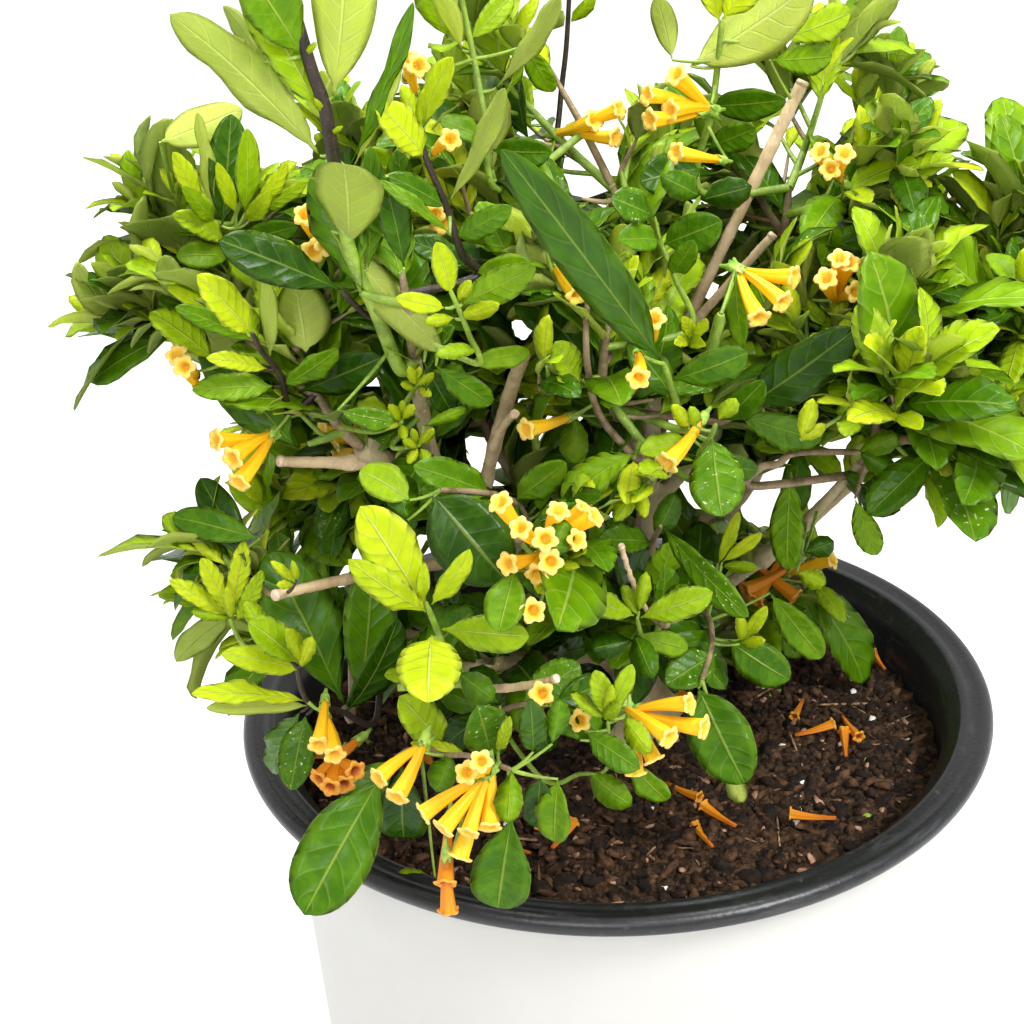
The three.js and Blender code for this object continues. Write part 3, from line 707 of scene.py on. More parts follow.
shown_shoot(
    "lime_centre_rosette", (0.9, 0.6), "green",
    [(478, 364, -70), (469, 335, -76), (460, 312, -80), (450, 290, -82)],
    (436, 366, 492, 404, 2, 32, "deep", 15), (424, 362, 452, 412, 4, 28, "dark", 15),
    (468, 362, 530, 352, 4, 24, "green", 20), (451, 294, 436, 242, -4, 27, "lime", 15),
    (445, 308, 396, 297, -8, 22, "lime", -10), (462, 304, 536, 266, -4, 36, "green", 8),
    (461, 317, 500, 303, -8, 20, "lime", 20), (458, 301, 471, 280, -2, 14, "lime", 0),
    (455, 318, 424, 322, -6, 14, "lime", 0), (478, 350, 434, 356, -8, 18, "fresh", 25),
)
shown_shoot(
    "flat_dark_leaf_shoot", (1.0, 0.8), "purple",
    [(372, 318, -60), (342, 291, -66)],
    (341, 290, 218, 240, -10, 48, "dark", 8),
)
shown_shoot(
    "left_shoot", (1.2, 0.7), "purple",
    [(290, 412, -48), (281, 376, -54), (263, 353, -60), (252, 333, -64)],
    (252, 333, 197, 275, -12, 38, "lime", 14), (270, 358, 265, 276, -8, 20, "fresh", 160),
    (306, 353, 294, 282, 6, 59, "fresh", 165), (252, 340, 175, 307, -4, 24, "green", 20),
    (274, 386, 192, 390, -8, 30, "green", 15), (268, 369, 206, 358, -10, 20, "lime", 20),
    (299, 392, 382, 357, -8, 41, "dark", 10), (284, 385, 338, 349, -6, 30, "green", 35),
    (258, 340, 228, 296, 8, 26, "fresh", 30),
)
shown_shoot(
    "top_left_rosette", (1.2, 0.8), "green",
    [(226, 300, -8), (232, 262, -14), (236, 228, -20)],
    (213, 226, 197, 112, 0, 18, "lime", 150), (222, 226, 231, 114, 8, 42, "dark", 10),
    (245, 213, 247, 128, -8, 26, "fresh", 15), (236, 214, 217, 162, -10, 16, "lime", 0),
    (252, 213, 287, 162, -8, 20, "lime", 25), (258, 210, 307, 181, -6, 18, "fresh", 20),
    (205, 218, 173, 152, -6, 22, "lime", 20), (214, 222, 182, 186, -14, 20, "fresh", 10),
    (248, 222, 270, 190, -12, 20, "lime", 10), (226, 240, 172, 214, -10, 26, "fresh", 20),
    (240, 240, 298, 226, -8, 28, "deep", 15), (232, 256, 176, 256, -8, 30, "green", 15),
    (160, 142, 242, 108, 24, 44, "lime", 160), (228, 250, 262, 288, -12, 26, "fresh", 10),
)
shown_shoot(
    "junction_buds", (0.8, 0.6), "green",
    [(372, 432, -52), (398, 424, -62), (401, 421, -64)],
    (401, 421, 388, 404, -4, 12, "lime", 10), (402, 420, 414, 404, -4, 12, "lime", 0),
    (400, 423, 382, 428, -4, 11, "lime", 20), (401, 424, 405, 440, -6, 11, "lime", 0),
    (424, 426, 468, 407, 0, 14, "green", 15), (403, 418, 402, 400, -2, 9, "lime", 0),
)
shown_shoot(
    "junction_buds_low", (0.8, 0.6), "green",
    [(392, 446, -54), (419, 446, -64)],
    (419, 446, 434, 428, -4, 12, "lime", 10), (418, 447, 402, 440, -4, 11, "lime", 15),
    (420, 448, 430, 463, -4, 12, "fresh", 0), (418, 448, 408, 464, -4, 11, "lime", 20),
    (417, 444, 412, 428, -2, 9, "lime", 0),
)
shown_shoot(
    "junction_buds_high", (0.8, 0.6), "green",
    [(404, 404, -54), (417, 385, -62)],
    (417, 385, 408, 366, -4, 12, "lime", 10), (418, 386, 434, 372, -4, 12, "lime", 15),
    (426, 371, 467, 376, 0, 13, "green", 20), (416, 388, 400, 384, -4, 11, "lime", 20),
    (419, 388, 432, 396, -4, 11, "lime", 0), (417, 384, 420, 366, -2, 9, "lime", 0),
)
shown_shoot(
    "dark_centre_leaves", (1.2, 0.8), "brown",
    [(520, 508, -54), (492, 494, -72), (440, 490, -84)],
    (492, 494, 413, 466, -10, 38, "deep", 12), (432, 494, 506, 580, -8, 80, "dark", 8),
    (515, 500, 566, 462, -8, 34, "green", 15), (410, 500, 360, 470, 4, 40, "fresh", 20),
    (338, 410, 394, 421, 4, 26, "speckled", 20), (408, 520, 392, 474, 8, 40, "deep", 15),
    (540, 512, 542, 468, -4, 18, "green", 10),
)
shown_shoot(
    "lime_front_rosette", (1.1, 0.7), "green",
    [(467, 682, -94), (449, 657, -100), (431, 615, -108), (425, 602, -110)],
    (426, 611, 360, 506, -8, 59, "lime", 10), (428, 612, 348, 559, -16, 34, "lime", -15),
    (431, 605, 470, 549, -8, 25, "lime", 20), (422, 600, 424, 563, -6, 14, "lime", 0),
    (440, 629, 529, 636, -10, 40, "fresh", 8), (431, 636, 428, 703, -26, 66, "lime", 6),
    (515, 570, 499, 632, -10, 42, "green", 10), (458, 672, 495, 700, -6, 34, "deep", 20),
    (426, 603, 410, 570, 2, 13, "lime", 25), (552, 560, 566, 520, 6, 30, "deep", 10),
)
shown_shoot(
    "big_green_leaves_left", (1.3, 1.0), "brown",
    [(352, 716, -64), (344, 706, -66)],
    (344, 704, 268, 552, 18, 72, "deep", 12), (345, 712, 398, 618, -10, 44, "dark", 38),
    (360, 700, 372, 560, 10, 54, "deep", 12),
)
shown_shoot(
    "lime_low_left", (1.1, 0.7), "purple",
    [(376, 720, -62), (340, 711, -72), (308, 702, -82), (297, 668, -86)],
    (308, 702, 191, 694, -14, 26, "lime", 30), (312, 706, 206, 708, -16, 20, "lime", 165),
    (299, 670, 221, 654, -8, 29, "lime", 20), (299, 664, 248, 622, -4, 38, "fresh", 25),
    (302, 661, 285, 628, -4, 20, "lime", 30), (300, 668, 312, 636, -2, 18, "lime", 0),
    (266, 634, 244, 600, 4, 22, "fresh", 10), (296, 582, 270, 561, -4, 11, "lime", 15),
    (297, 580, 292, 560, -4, 9, "lime", 0), (294, 585, 276, 585, -6, 10, "lime", 10),
    (306, 715, 291, 790, -10, 38, "speckled", 14), (300, 712, 270, 770, 14, 34, "deep", 20),
)
shown_shoot(
    "left_edge_rosette", (1.0, 0.6), "green",
    [(262, 660, -58), (240, 640, -60), (229, 616, -62)],
    (229, 616, 169, 580, -4, 22, "lime", 15), (229, 614, 201, 558, -2, 22, "lime", 15),
    (231, 612, 244, 540, 2, 22, "lime", 10), (232, 618, 190, 612, -6, 18, "fresh", 20),
    (228, 618, 176, 662, 2, 34, "deep", 150), (259, 539, 172, 517, 8, 34, "deep", 12),
    (236, 622, 262, 570, 2, 20, "fresh", 20), (232, 618, 226, 586, -6, 14, "lime", 0),
    (246, 562, 200, 478, 16, 36, "dark", 10),
)
shown_shoot(
    "overhanging_shoot", (1.2, 0.8), "brown",
    [(425, 742, -84), (405, 752, -92), (388, 766, -100)],
    (385, 770, 304, 915, -24, 76, "deep", 6), (444, 747, 399, 696, -8, 42, "fresh", 12),
    (467, 754, 410, 743, -8, 16, "lime", 10), (398, 760, 352, 812, 10, 44, "deep", 20),
    (402, 764, 404, 838, 4, 52, "dark", 8),
)
shown_shoot(
    "front_low_shoot", (1.0, 0.7), "brown",
    [(430, 748, -90), (470, 756, -106), (512, 770, -116)],
    (490, 752, 477, 706, -10, 50, "speckled", 10), (533, 752, 530, 700, -8, 30, "dark", 12),
    (552, 744, 560, 698, 4, 26, "deep", 20), (512, 770, 508, 824, -12, 31, "green", 10),
    (512, 815, 498, 908, -4, 62, "deep", 10), (558, 779, 555, 842, -2, 40, "green", 22),
    (540, 776, 538, 828, 4, 34, "dark", 8), (452, 756, 436, 792, -4, 32, "deep", 18),
    (435, 878, 392, 881, 0, 22, "fresh", 25), (498, 752, 510, 716, -12, 14, "fresh", 5),
)
shown_shoot(
    "dark_low_leaves", (1.0, 0.7), "brown",
    [(480, 714, -68), (520, 705, -80), (560, 705, -82)],
    (522, 702, 580, 664, 6, 42, "speckled", 10), (556, 702, 606, 682, 8, 34, "dark", 10),
    (500, 706, 470, 668, 4, 36, "dark", 12), (560, 706, 600, 732, 2, 34, "deep", 10),
    (522, 708, 552, 750, 2, 36, "dark", 10), (500, 710, 488, 754, 4, 36, "deep", 10),
    (488, 712, 446, 744, 4, 34, "dark", 12), (484, 708, 440, 690, 4, 34, "deep", 10),
)
shown_shoot(
    "right_sprig", (0.8, 0.5), "green",
    [(539, 776, -84), (580, 774, -92), (607, 768, -96), (608, 718, -102)],
    (607, 715, 595, 670, -4, 24, "fresh", 10), (608, 715, 632, 664, 0, 20, "fresh", 15),
    (604, 718, 570, 694, -4, 18, "fresh", 25), (607, 714, 612, 684, -6, 14, "lime", 0),
    (585, 731, 640, 769, -10, 32, "deep", 15), (625, 717, 652, 753, -8, 27, "fresh", 20),
    (632, 764, 668, 800, 0, 32, "green", 30), (590, 772, 632, 806, -6, 34, "green", 20),
    (580, 740, 552, 706, 4, 26, "deep", 15), (604, 720, 622, 700, -6, 16, "fresh", 0),
)
shown_shoot(
    "right_rosette", (1.0, 0.6), "green",
    [(648, 672, -58), (642, 640, -66), (637, 618, -72)],
    (635, 616, 584, 599, -8, 27, "fresh", 15), (639, 618, 713, 592, -2, 32, "fresh", 10),
    (639, 611, 646, 571, -2, 16, "fresh", 10), (635, 634, 654, 679, -12, 31, "deep", 15),
    (637, 634, 688, 649, 4, 27, "green", 20), (634, 640, 590, 650, -4, 30, "dark", 15),
    (638, 616, 622, 584, 2, 15, "fresh", 10),
)
shown_shoot(
    "right_low_leaves", (1.1, 0.8), "brown",
    [(700, 610, -30), (712, 640, -52), (702, 680, -68)],
    (698, 688, 745, 784, -12, 64, "deep", 10), (730, 770, 744, 803, -4, 26, "fresh", 150),
    (716, 654, 666, 685, -10, 41, "speckled", 12), (728, 640, 790, 680, -4, 44, "deep", 18),
    (742, 640, 767, 606, -6, 15, "lime", 10), (742, 642, 738, 612, -6, 14, "lime", 20),
    (740, 644, 766, 640, -8, 13, "lime", 0), (770, 593, 822, 658, -4, 34, "green", 12),
    (791, 472, 787, 570, -4, 36, "green", 12), (804, 553, 834, 541, 0, 25, "dark", 15),
    (797, 572, 826, 584, -2, 22, "fresh", 20), (718, 564, 739, 511, -4, 14, "lime", 10),
    (722, 562, 762, 533, -4, 14, "lime", 10), (722, 566, 758, 567, -4, 14, "fresh", 10),
)
shown_shoot(
    "curled_leaf_shoot", (1.1, 0.8), "brown",
    [(640, 560, -20), (650, 545, -36), (661, 526, -48)],
    (662, 525, 749, 617, -28, 34, "speckled", 30), (652, 542, 598, 540, -10, 32, "deep", 20),
    (656, 536, 676, 492, 4, 28, "deep", 15),
)
shown_shoot(
    "speckled_leaf_shoot", (1.1, 0.7), "green",
    [(690, 480, -40), (700, 452, -58), (710, 438, -66), (716, 424, -68)],
    (712, 437, 722, 517, -16, 56, "speckled", 8), (688, 428, 672, 404, -8, 16, "lime", 10),
    (718, 420, 736, 398, -4, 20, "fresh", 15), (696, 426, 690, 406, -10, 15, "fresh", 10),
    (575, 415, 576, 466, -4, 31, "green", 12), (694, 440, 640, 452, -8, 28, "fresh", 20),
    (704, 462, 758, 470, 2, 30, "deep", 20), (801, 440, 813, 398, -2, 20, "lime", 10),
    (800, 440, 826, 424, -2, 15, "lime", 20),
)
shown_shoot(
    "right_dark_leaf_shoot", (1.2, 0.8), "brown",
    [(700, 420, -40), (722, 422, -44), (740, 411, -46)],
    (740, 410, 857, 328, -14, 56, "dark", 14), (722, 420, 764, 380, -18, 34, "deep", 18),
    (736, 414, 822, 440, 6, 40, "deep", 15),
)
shown_shoot(
    "sage_leaves_top", (1.1, 0.7), "green",
    [(690, 330, -44), (676, 280, -42), (662, 246, -40)],
    (662, 245, 722, 221, -8, 42, "deep", 10), (655, 217, 611, 198, -6, 36, "speckled", 15),
    (658, 240, 618, 240, -10, 32, "deep", 20), (672, 274, 694, 240, -14, 26, "deep", 10),
    (735, 270, 742, 346, -6, 26, "green", 20), (692, 336, 682, 316, -14, 14, "lime", 10),
    (694, 336, 706, 318, -14, 14, "lime", 20), (690, 340, 706, 346, -16, 14, "lime", 0),
    (690, 338, 674, 344, -16, 14, "lime", 0), (700, 196, 660, 176, -4, 30, "deep", 10),
    (700, 200, 752, 186, -4, 34, "dark", 10),
)
shown_shoot(
    "pruned_green_shoot", (1.9, 1.6), "green",
    [(704, 376, -44), (709, 362, -46), (721, 314, -52)],
    (712, 350, 742, 372, -4, 18, "fresh", 15),
)
shown_shoot(
    "top_right_shoot", (1.3, 0.8), "green",
    [(700, 190, 12), (712, 110, 10), (718, 62, 6), (722, 20, 4)],
    (690, 66, 812, -16, -8, 66, "lime", 158), (672, 60, 656, -4, 6, 26, "fresh", 165),
    (712, 106, 786, 100, -14, 34, "deep", 15), (722, 20, 762, -44, -4, 40, "lime", 20),
    (720, 24, 700, -54, 0, 30, "lime", 0), (704, 168, 640, 182, -8, 44, "dark", 15),
    (708, 148, 756, 128, -10, 32, "deep", 10), (712, 120, 668, 86, 8, 30, "green", 10),
    (770, 60, 832, 56, 12, 34, "green", 15), (780, 40, 850, 12, 14, 36, "fresh", 15),
)


def shown_cluster(base, mouths, faded=False):
    """Blossom that stands out: where its flowers start, and the spots of their mouths"""
    return Record(base=base, mouths=mouths, faded=faded)


SHOWN_BLOSSOM = [
    shown_cluster((545, 552, -96), [(500, 500, -108), (519, 526, -116), (544, 540, -118), (549, 562, -118),
        (506, 563, -112), (578, 540, -106), (598, 516, -100), (560, 510, -104), (588, 508, -96),
        (538, 576, -108)]),
    shown_cluster((536, 616, -104), [(533, 612, -118)]),
    shown_cluster((418, 750, -100), [(377, 781, -112), (394, 799, -114)]),
    shown_cluster((323, 712, -86), [(318, 748, -100), (334, 757, -104)]),
    shown_cluster((340, 760, -90), [(318, 782, -98), (330, 790, -104), (346, 786, -100),
        (358, 772, -98)], True),
    shown_cluster((488, 776, -116), [(421, 817, -124), (441, 832, -128), (468, 836, -130), (488, 830, -128),
        (465, 774, -130), (480, 762, -132), (458, 860, -128)]),
    shown_cluster((447, 868, -124), [(446, 886, -128), (449, 912, -126)], True),
    shown_cluster((630, 711, -98), [(692, 705, -106), (707, 727, -108), (672, 740, -110), (655, 763, -106),
        (634, 776, -104)]),
    shown_cluster((270, 436, -50), [(214, 439, -62), (231, 461, -66), (236, 484, -66)]),
    shown_cluster((190, 372, -52), [(176, 352, -58), (182, 366, -62)]),
    shown_cluster((316, 236, -36), [(306, 214, -46), (326, 246, -52), (312, 252, -50)]),
    shown_cluster((424, 204, -20), [(396, 182, -30), (410, 194, -36), (436, 216, -38), (444, 226, -34),
        (402, 206, -32)]),
    shown_cluster((562, 130, 6), [(622, 108, -4), (618, 137, -8), (596, 118, -4)]),
    shown_cluster((710, 110, -4), [(675, 74, -14), (644, 96, -14), (648, 119, -18), (668, 112, -16)]),
    shown_cluster((728, 161, -14), [(673, 152, -26)]),
    shown_cluster((738, 268, -40), [(797, 276, -50), (784, 304, -56), (761, 319, -58)]),
    shown_cluster((836, 300, -30), [(850, 262, -40), (826, 276, -44), (840, 258, -42), (856, 292, -44)]),
    shown_cluster((840, 176, -10), [(820, 150, -18), (846, 152, -22), (830, 170, -22)]),
    shown_cluster((637, 352, -70), [(637, 380, -90)]),
    shown_cluster((692, 430, -64), [(664, 464, -76)]),
    shown_cluster((566, 417, -56), [(524, 429, -68)]),
    shown_cluster((566, 280, -56), [(578, 296, -64)]),
    shown_cluster((412, 74, -24), [(408, 56, -30), (420, 66, -34)]),
    shown_cluster((440, 150, -30), [(452, 140, -40)]),
    shown_cluster((655, 340, -50), [(655, 318, -58)]),
    shown_cluster((792, 574, 30), [(834, 560, 24)]),
    shown_cluster((770, 576, 24), [(742, 590, 18), (754, 602, 16), (798, 598, 18)], True),
    shown_cluster((544, 700, -96), [(540, 694, -108)]),
    shown_cluster((582, 720, -86), [(580, 722, -100)]),
]

# Spots of the picture where sky shows, with how far round them it does
SKY = [
    (200, 92, 34), (240, 76, 20), (398, 30, 34), (380, 66, 20), (624, 40, 34), (606, 76, 18), (640, 10, 26),
    (196, 410, 14), (236, 512, 12), (186, 486, 14), (822, 502, 18), (838, 534, 20), (760, 506, 17),
    (838, 452, 9), (695, 500, 7), (776, 418, 6), (842, 580, 18), (262, 150, 14), (292, 138, 18),
    (184, 372, 12), (214, 424, 12), (372, 387, 9), (486, 455, 11), (653, 433, 7), (520, 336, 7),
    (578, 108, 28), (604, 150, 20), (590, 186, 11), (756, 96, 14), (772, 152, 14), (832, 120, 16),
    (800, 190, 8), (707, 298, 6),
]


# Where shown pieces may join what carries them, as shares of its length
BOUGH_JOINTS = np.linspace(0.3, 1, 16)
STEM_JOINTS = np.linspace(0, 0.9, 10)
STICK_JOINTS = np.linspace(0.2, 0.95, 20)

carriers = [curve_of(one).point(BOUGH_JOINTS) for one in BOUGHS]
carriers += [stem_of(m).point(STEM_JOINTS) for m in MASSES]
carriers = np.concatenate(carriers)


def nearest_of(places, place):
    return places[int(np.argmin(np.linalg.norm(places - place, axis=1)))]


def path_of(shoot):
    """A shown shoot's way, from the nearest limb on"""
    places = [behind_pixel(spot) for spot in shoot.path]
    return Path([nearest_of(carriers, places[0]), *places])


shown_paths = {s.name: path_of(s) for s in SHOWN_SHOOTS}
shown_ends = np.array([path.points[-1] for path in shown_paths.values()])
END_CLEAR = 16.0  # nearer to a shown shoot's end, the rule grows no shoot
STALK_FREE = 5.0  # how far a leaf's root may show from its shoot before it gets a stalk, in pixels
STALK_RADIUS = (0.6, 0.35)
STALK_STEPS = 6
SHOOT_STEPS = 6  # to each spot of a shown shoot's path
GREEN_STRETCH = (0, 0.45)  # of a shoot that turns from green to purple
PURPLE_STRETCH = (0.44, 1)
LEAF_JOINTS = np.linspace(0.1, 1, 80)


def stands_for_shown(place):
    """True if a shown shoot already stands for one that ends here"""
    return bool(np.min(np.linalg.norm(shown_ends - place, axis=1)) < END_CLEAR)


stalks = []  # where the stalks of shown leaves that stand apart from their shoot end, and their bark


def grow_stalks():
    """Joins the leaves and flowers that stand apart to the nearest twigs"""
    sticks = [curve_of(one).point(STICK_JOINTS) for one in CUT_STICKS]
    lines = np.concatenate([carriers, *sticks, *[twig.line for twig in twigs]])
    for end, bark in stalks:
        start = nearest_of(lines, end)
        stalk = Bend(start, (start + end) / 2 - UP, end)
        add_twig(stalk, STALK_RADIUS, bark, STALK_STEPS, shown=True)


def grow_shown_shoot(shoot, random):
    path = shown_paths[shoot.name]
    steps = SHOOT_STEPS * len(path.points)
    if shoot.bark == "green to purple":
        add_twig(path, shoot.girth, "green", steps, GREEN_STRETCH, shown=True)
        add_twig(path, shoot.girth, "purple", steps, PURPLE_STRETCH, shown=True)
    else:
        add_twig(path, shoot.girth, shoot.bark, steps, shown=True)
    line = path.point(LEAF_JOINTS)
    spots = in_picture(line)[:, :2]
    for right, down, tip_right, tip_down, lean, width, kind, roll in shoot.leaves:
        apart = np.linalg.norm(spots - (right, down), axis=1)
        depth = line[int(np.argmin(apart)), 1]
        root = behind_pixel((right, down, depth))
        tip = behind_pixel((tip_right, tip_down, depth + lean))
        if apart.min() > STALK_FREE:
            stalks.append((root, "purple" if shoot.bark == "purple" else "green"))
        add_shown_leaf(root, tip, width, kind, math.radians(roll), random)


def add_shown_leaf(root, tip, width, kind, roll, random):
    direction = unit(tip - root)
    length = float(np.linalg.norm(tip - root))
    facing = square_to(EYE - (root + tip) / 2, direction)
    side = np.cross(direction, facing)
    far = in_picture((root + tip) / 2)[0, 2]
    shape = {
        "width": width * far / PIXELS / length,
        "droop": within(random, SHOWN_DROOP),
        "fold": within(random, SHOWN_FOLD),
        "twist": swing(random, SHOWN_TWIST),
    }
    face = facing * math.cos(roll) + side * math.sin(roll)
    add_leaf(root, direction, face, length, kind, random, shown=True, **shape)


def grow_shown_cluster(cluster, random):
    base = behind_pixel(cluster.base)
    for spot in cluster.mouths:
        mouth = behind_pixel(spot)
        direction = unit(mouth - base)
        length = FLOWER_LENGTH * within(random, SHOWN_FLOWER_SIZE)
        root = mouth - direction * length
        add_flower(root, direction, length, random, faded=cluster.faded, shown=True)
    stalks.append((base, "green"))


# How far round shown pieces the view is kept clear, in pixels
COVER_EDGE = 5.0
FLOWER_COVER = 12.0
STICK_COVER = 17.0
SHOOT_COVER = 7.0
LEAF_COVER = 0.36  # of a shown leaf's width, on each side of its middle
GROWN_LEAF_COVER = 0.3
MARGIN_SHARE = 0.5  # how much of a piece's own margin counts against shown pieces
# Shares of a piece's length at which it is looked at
LEAF_CHECKS = (0.1, 0.35, 0.6, 0.85)
FLOWER_CHECKS = (0.3, 0.7, 1.0)
GROWN_FLOWER_CHECKS = (0.5, 1.0)
STICK_CHECKS = np.linspace(0.25, 1, 14)
SHOOT_CHECKS = np.linspace(0.35, 1, 16)
SKY_SCALE = 3.1  # pixels to the millimetre in the crown's middle
CUT_BACK = 0.01  # how far before a blocked place a twig ends
SPARE_END = 0.06  # how much of a twig may stand bare beyond its last leaf
FRONT_BLOSSOM = -20.0  # nearer than this y, all the blossom is placed one by one


def leaf_line(leaf):
    return leaf.root + np.outer(LEAF_CHECKS, leaf.direction * leaf.length)


def with_reach(spots, reach):
    """Spots of the picture, each with how far round it the view is kept clear"""
    return np.column_stack([spots, np.full(len(spots), reach)])


def view_cover():
    """What must stay in sight: spots of the picture, how far away each is, and how far it reaches"""
    cover = []
    for leaf in leaves:
        if leaf.shown:
            spots = in_picture(leaf_line(leaf))
            reach = LEAF_COVER * leaf.width * leaf.length * PIXELS / spots[:, 2]
            cover.append(with_reach(spots, reach + COVER_EDGE))
    for flower in flowers:
        if flower.shown:
            places = flower.root + np.outer(FLOWER_CHECKS, flower.aim * FLOWER_LENGTH)
            cover.append(with_reach(in_picture(places), FLOWER_COVER))
    for one in PRUNED:
        places = curve_of(one).point(STICK_CHECKS)
        cover.append(with_reach(in_picture(places), STICK_COVER))
    for path in shown_paths.values():
        cover.append(with_reach(in_picture(path.point(SHOOT_CHECKS)), SHOOT_COVER))
    return np.concatenate(cover)


def blocks(places, margin=0.0):
    """Which places stand in front of what must stay in sight, or where sky shows"""
    spots = in_picture(places)
    sky = []
    for right, down, reach in SKY:
        sky.append(np.hypot(spots[:, 0] - right, spots[:, 1] - down) < reach + margin)
    apart = np.hypot(cover[:, 0] - spots[:, None, 0], cover[:, 1] - spots[:, None, 1])
    nearer = cover[:, 2] > spots[:, None, 2]
    before = (apart < cover[:, 3] + margin * MARGIN_SHARE) & nearer
    return np.any(sky, axis=0) | before.any(axis=1)


def clear_the_view():
    """Cuts back what the rule grew in front of the shown pieces, or where the picture shows sky"""

    def held(piece):
        return piece.carrier is None or piece.at <= piece.carrier.end

    def leaf_stays(leaf):
        if leaf.shown:
            return True
        half = GROWN_LEAF_COVER * leaf.width * leaf.length * SKY_SCALE
        return held(leaf) and not blocks(leaf_line(leaf), half).any()

    def flower_stays(flower):
        if flower.shown:
            return True
        places = flower.root + np.outer(GROWN_FLOWER_CHECKS, flower.aim * FLOWER_LENGTH)
        return flower.root[1] > FRONT_BLOSSOM and held(flower) and not blocks(places).any()

    for twig in twigs:
        if not held(twig):
            twig.end = -1.0
        elif not (twig.stays or twig.shown):
            blocked = blocks(twig.line)
            if blocked.any():
                twig.end = float(twig.shares[int(np.argmax(blocked))]) - CUT_BACK
    leaves[:] = [leaf for leaf in leaves if leaf_stays(leaf)]
    flowers[:] = [flower for flower in flowers if flower_stays(flower)]
    for piece in [*leaves, *flowers]:
        if piece.carrier:
            piece.carrier.used = max(piece.carrier.used, piece.at)
    for twig in reversed(twigs):
        if twig.carrier and twig.used:
            twig.carrier.used = max(twig.carrier.used, twig.at)
        if not twig.shown:
            twig.end = min(twig.end, twig.used + SPARE_END)
    twigs[:] = [twig for twig in twigs if np.count_nonzero(twig.shares <= twig.end) > 1]
    for twig in twigs:
        keep = twig.shares <= twig.end
        twig.line, twig.girth = twig.line[keep], twig.girth[keep]
        twig.girth[-1] *= END_TAPER


SHOOT_SEED = 9000
BLOSSOM_SEED = 9500
for number, shoot in enumerate(SHOWN_SHOOTS):
    grow_shown_shoot(shoot, stream(SHOOT_SEED + number))
for number, cluster in enumerate(SHOWN_BLOSSOM):
    grow_shown_cluster(cluster, stream(BLOSSOM_SEED + number))
cover = view_cover()
for index, m in enumerate(MASSES):
    grow_mass(index, m)
clear_the_view()
grow_stalks()


# Node trees. A Value is a socket that a sum can be written with.
def operator_of(operation, reflected=False):
    """A method that adds a Math node, for a value and what stands after it, or before it"""

    def add_node(value, other=0.0):
        first, second = (other, value) if reflected else (value, other)
        return value.maths(operation, first, second)

    return add_node


class Value:
    """What a node gives. Sums on it add Math nodes."""

    def __init__(self, nodes, socket):
        self.nodes = nodes
        self.socket = socket

    def other(self, name):
        return Value(self.nodes, self.socket.node.outputs[name])

    def maths(self, operation, first, second=0.0):
        return self.nodes.node("ShaderNodeMath", {"operation": operation}, {0: first, 1: second})

    __add__ = operator_of("ADD")
    __radd__ = operator_of("ADD", True)
    __sub__ = operator_of("SUBTRACT")
    __rsub__ = operator_of("SUBTRACT", True)
    __mul__ = operator_of("MULTIPLY")
    __rmul__ = operator_of("MULTIPLY", True)
    __pow__ = operator_of("POWER")
    __mod__ = operator_of("FLOORED_MODULO")
    __abs__ = operator_of("ABSOLUTE")

    def above(self, limit):
        return self.maths("GREATER_THAN", self, limit)

    def step(self, low, high):
        """0 below low, 1 above high, and smooth between them"""
        settings = {"interpolation_type": "SMOOTHSTEP"}
        return self.nodes.node("ShaderNodeMapRange", settings, {0: self, 1: low, 2: high, 3: 0.0, 4: 1.0})


class Nodes:
    """Adds nodes to a tree and joins them"""

    def __init__(self, tree):
        self.tree = tree

    def feed(self, socket, value):
        if isinstance(value, Value):
            self.tree.links.new(value.socket, socket)
        else:
            socket.default_value = value

    def node(self, kind, settings=None, inputs=None, output=0):
        made = self.tree.nodes.new(kind)
        for key, value in (settings or {}).items():
            setattr(made, key, value)
        for key, value in (inputs or {}).items():
            self.feed(made.inputs[key], value)
        return Value(self, made.outputs[output])


def paint(code):
    """A colour from its web code, as the shader wants it"""
    parts = [int(code[i : i + 2], 16) / 255 for i in (1, 3, 5)]
    return (*[((p + 0.055) / 1.055) ** 2.4 if p > 0.04045 else p / 12.92 for p in parts], 1.0)


class Finish(Nodes):
    """A material. What is the same all over is set on the shader, and what varies is fed to it."""

    def __init__(self, name, **fixed):
        self.material = bpy.data.materials.new(name)
        self.material.use_nodes = True
        super().__init__(self.material.node_tree)
        self.shader = self.tree.nodes["Principled BSDF"]
        self.output = self.tree.nodes["Material Output"]
        for key, value in fixed.items():
            self.shader.inputs[key.replace("_", " ")].default_value = value

    def colour(self, value):
        self.feed(self.shader.inputs["Base Color"], value)

    def roughness(self, value):
        self.feed(self.shader.inputs["Roughness"], value)

    def blend(self, share, one, other):
        return self.node("ShaderNodeMix", {"data_type": "RGBA"}, {0: share, 6: one, 7: other}, 2)

    def place(self):
        return self.node("ShaderNodeTexCoord", output="Object")

    def stretched(self, place, scale):
        return self.node("ShaderNodeVectorMath", {"operation": "MULTIPLY"}, {0: place, 1: scale})

    def noise(self, place, scale, detail=3.0, roughness=0.55):
        inputs = {"Vector": place, "Scale": scale, "Detail": detail, "Roughness": roughness}
        return self.node("ShaderNodeTexNoise", None, inputs)

    def cells(self, place, scale):
        return self.node("ShaderNodeTexVoronoi", None, {"Vector": place, "Scale": scale})

    def relief(self, height, depth, strength=1.0):
        inputs = {"Strength": strength, "Distance": depth, "Height": height}
        self.feed(self.shader.inputs["Normal"], self.node("ShaderNodeBump", None, inputs))

    def let_light_through(self, share, tint):
        through = self.node("ShaderNodeBsdfTranslucent", None, {"Color": tint})
        surface = Value(self, self.shader.outputs["BSDF"])
        both = self.node("ShaderNodeMixShader", None, {0: share, 1: surface, 2: through})
        self.feed(self.output.inputs["Surface"], both)


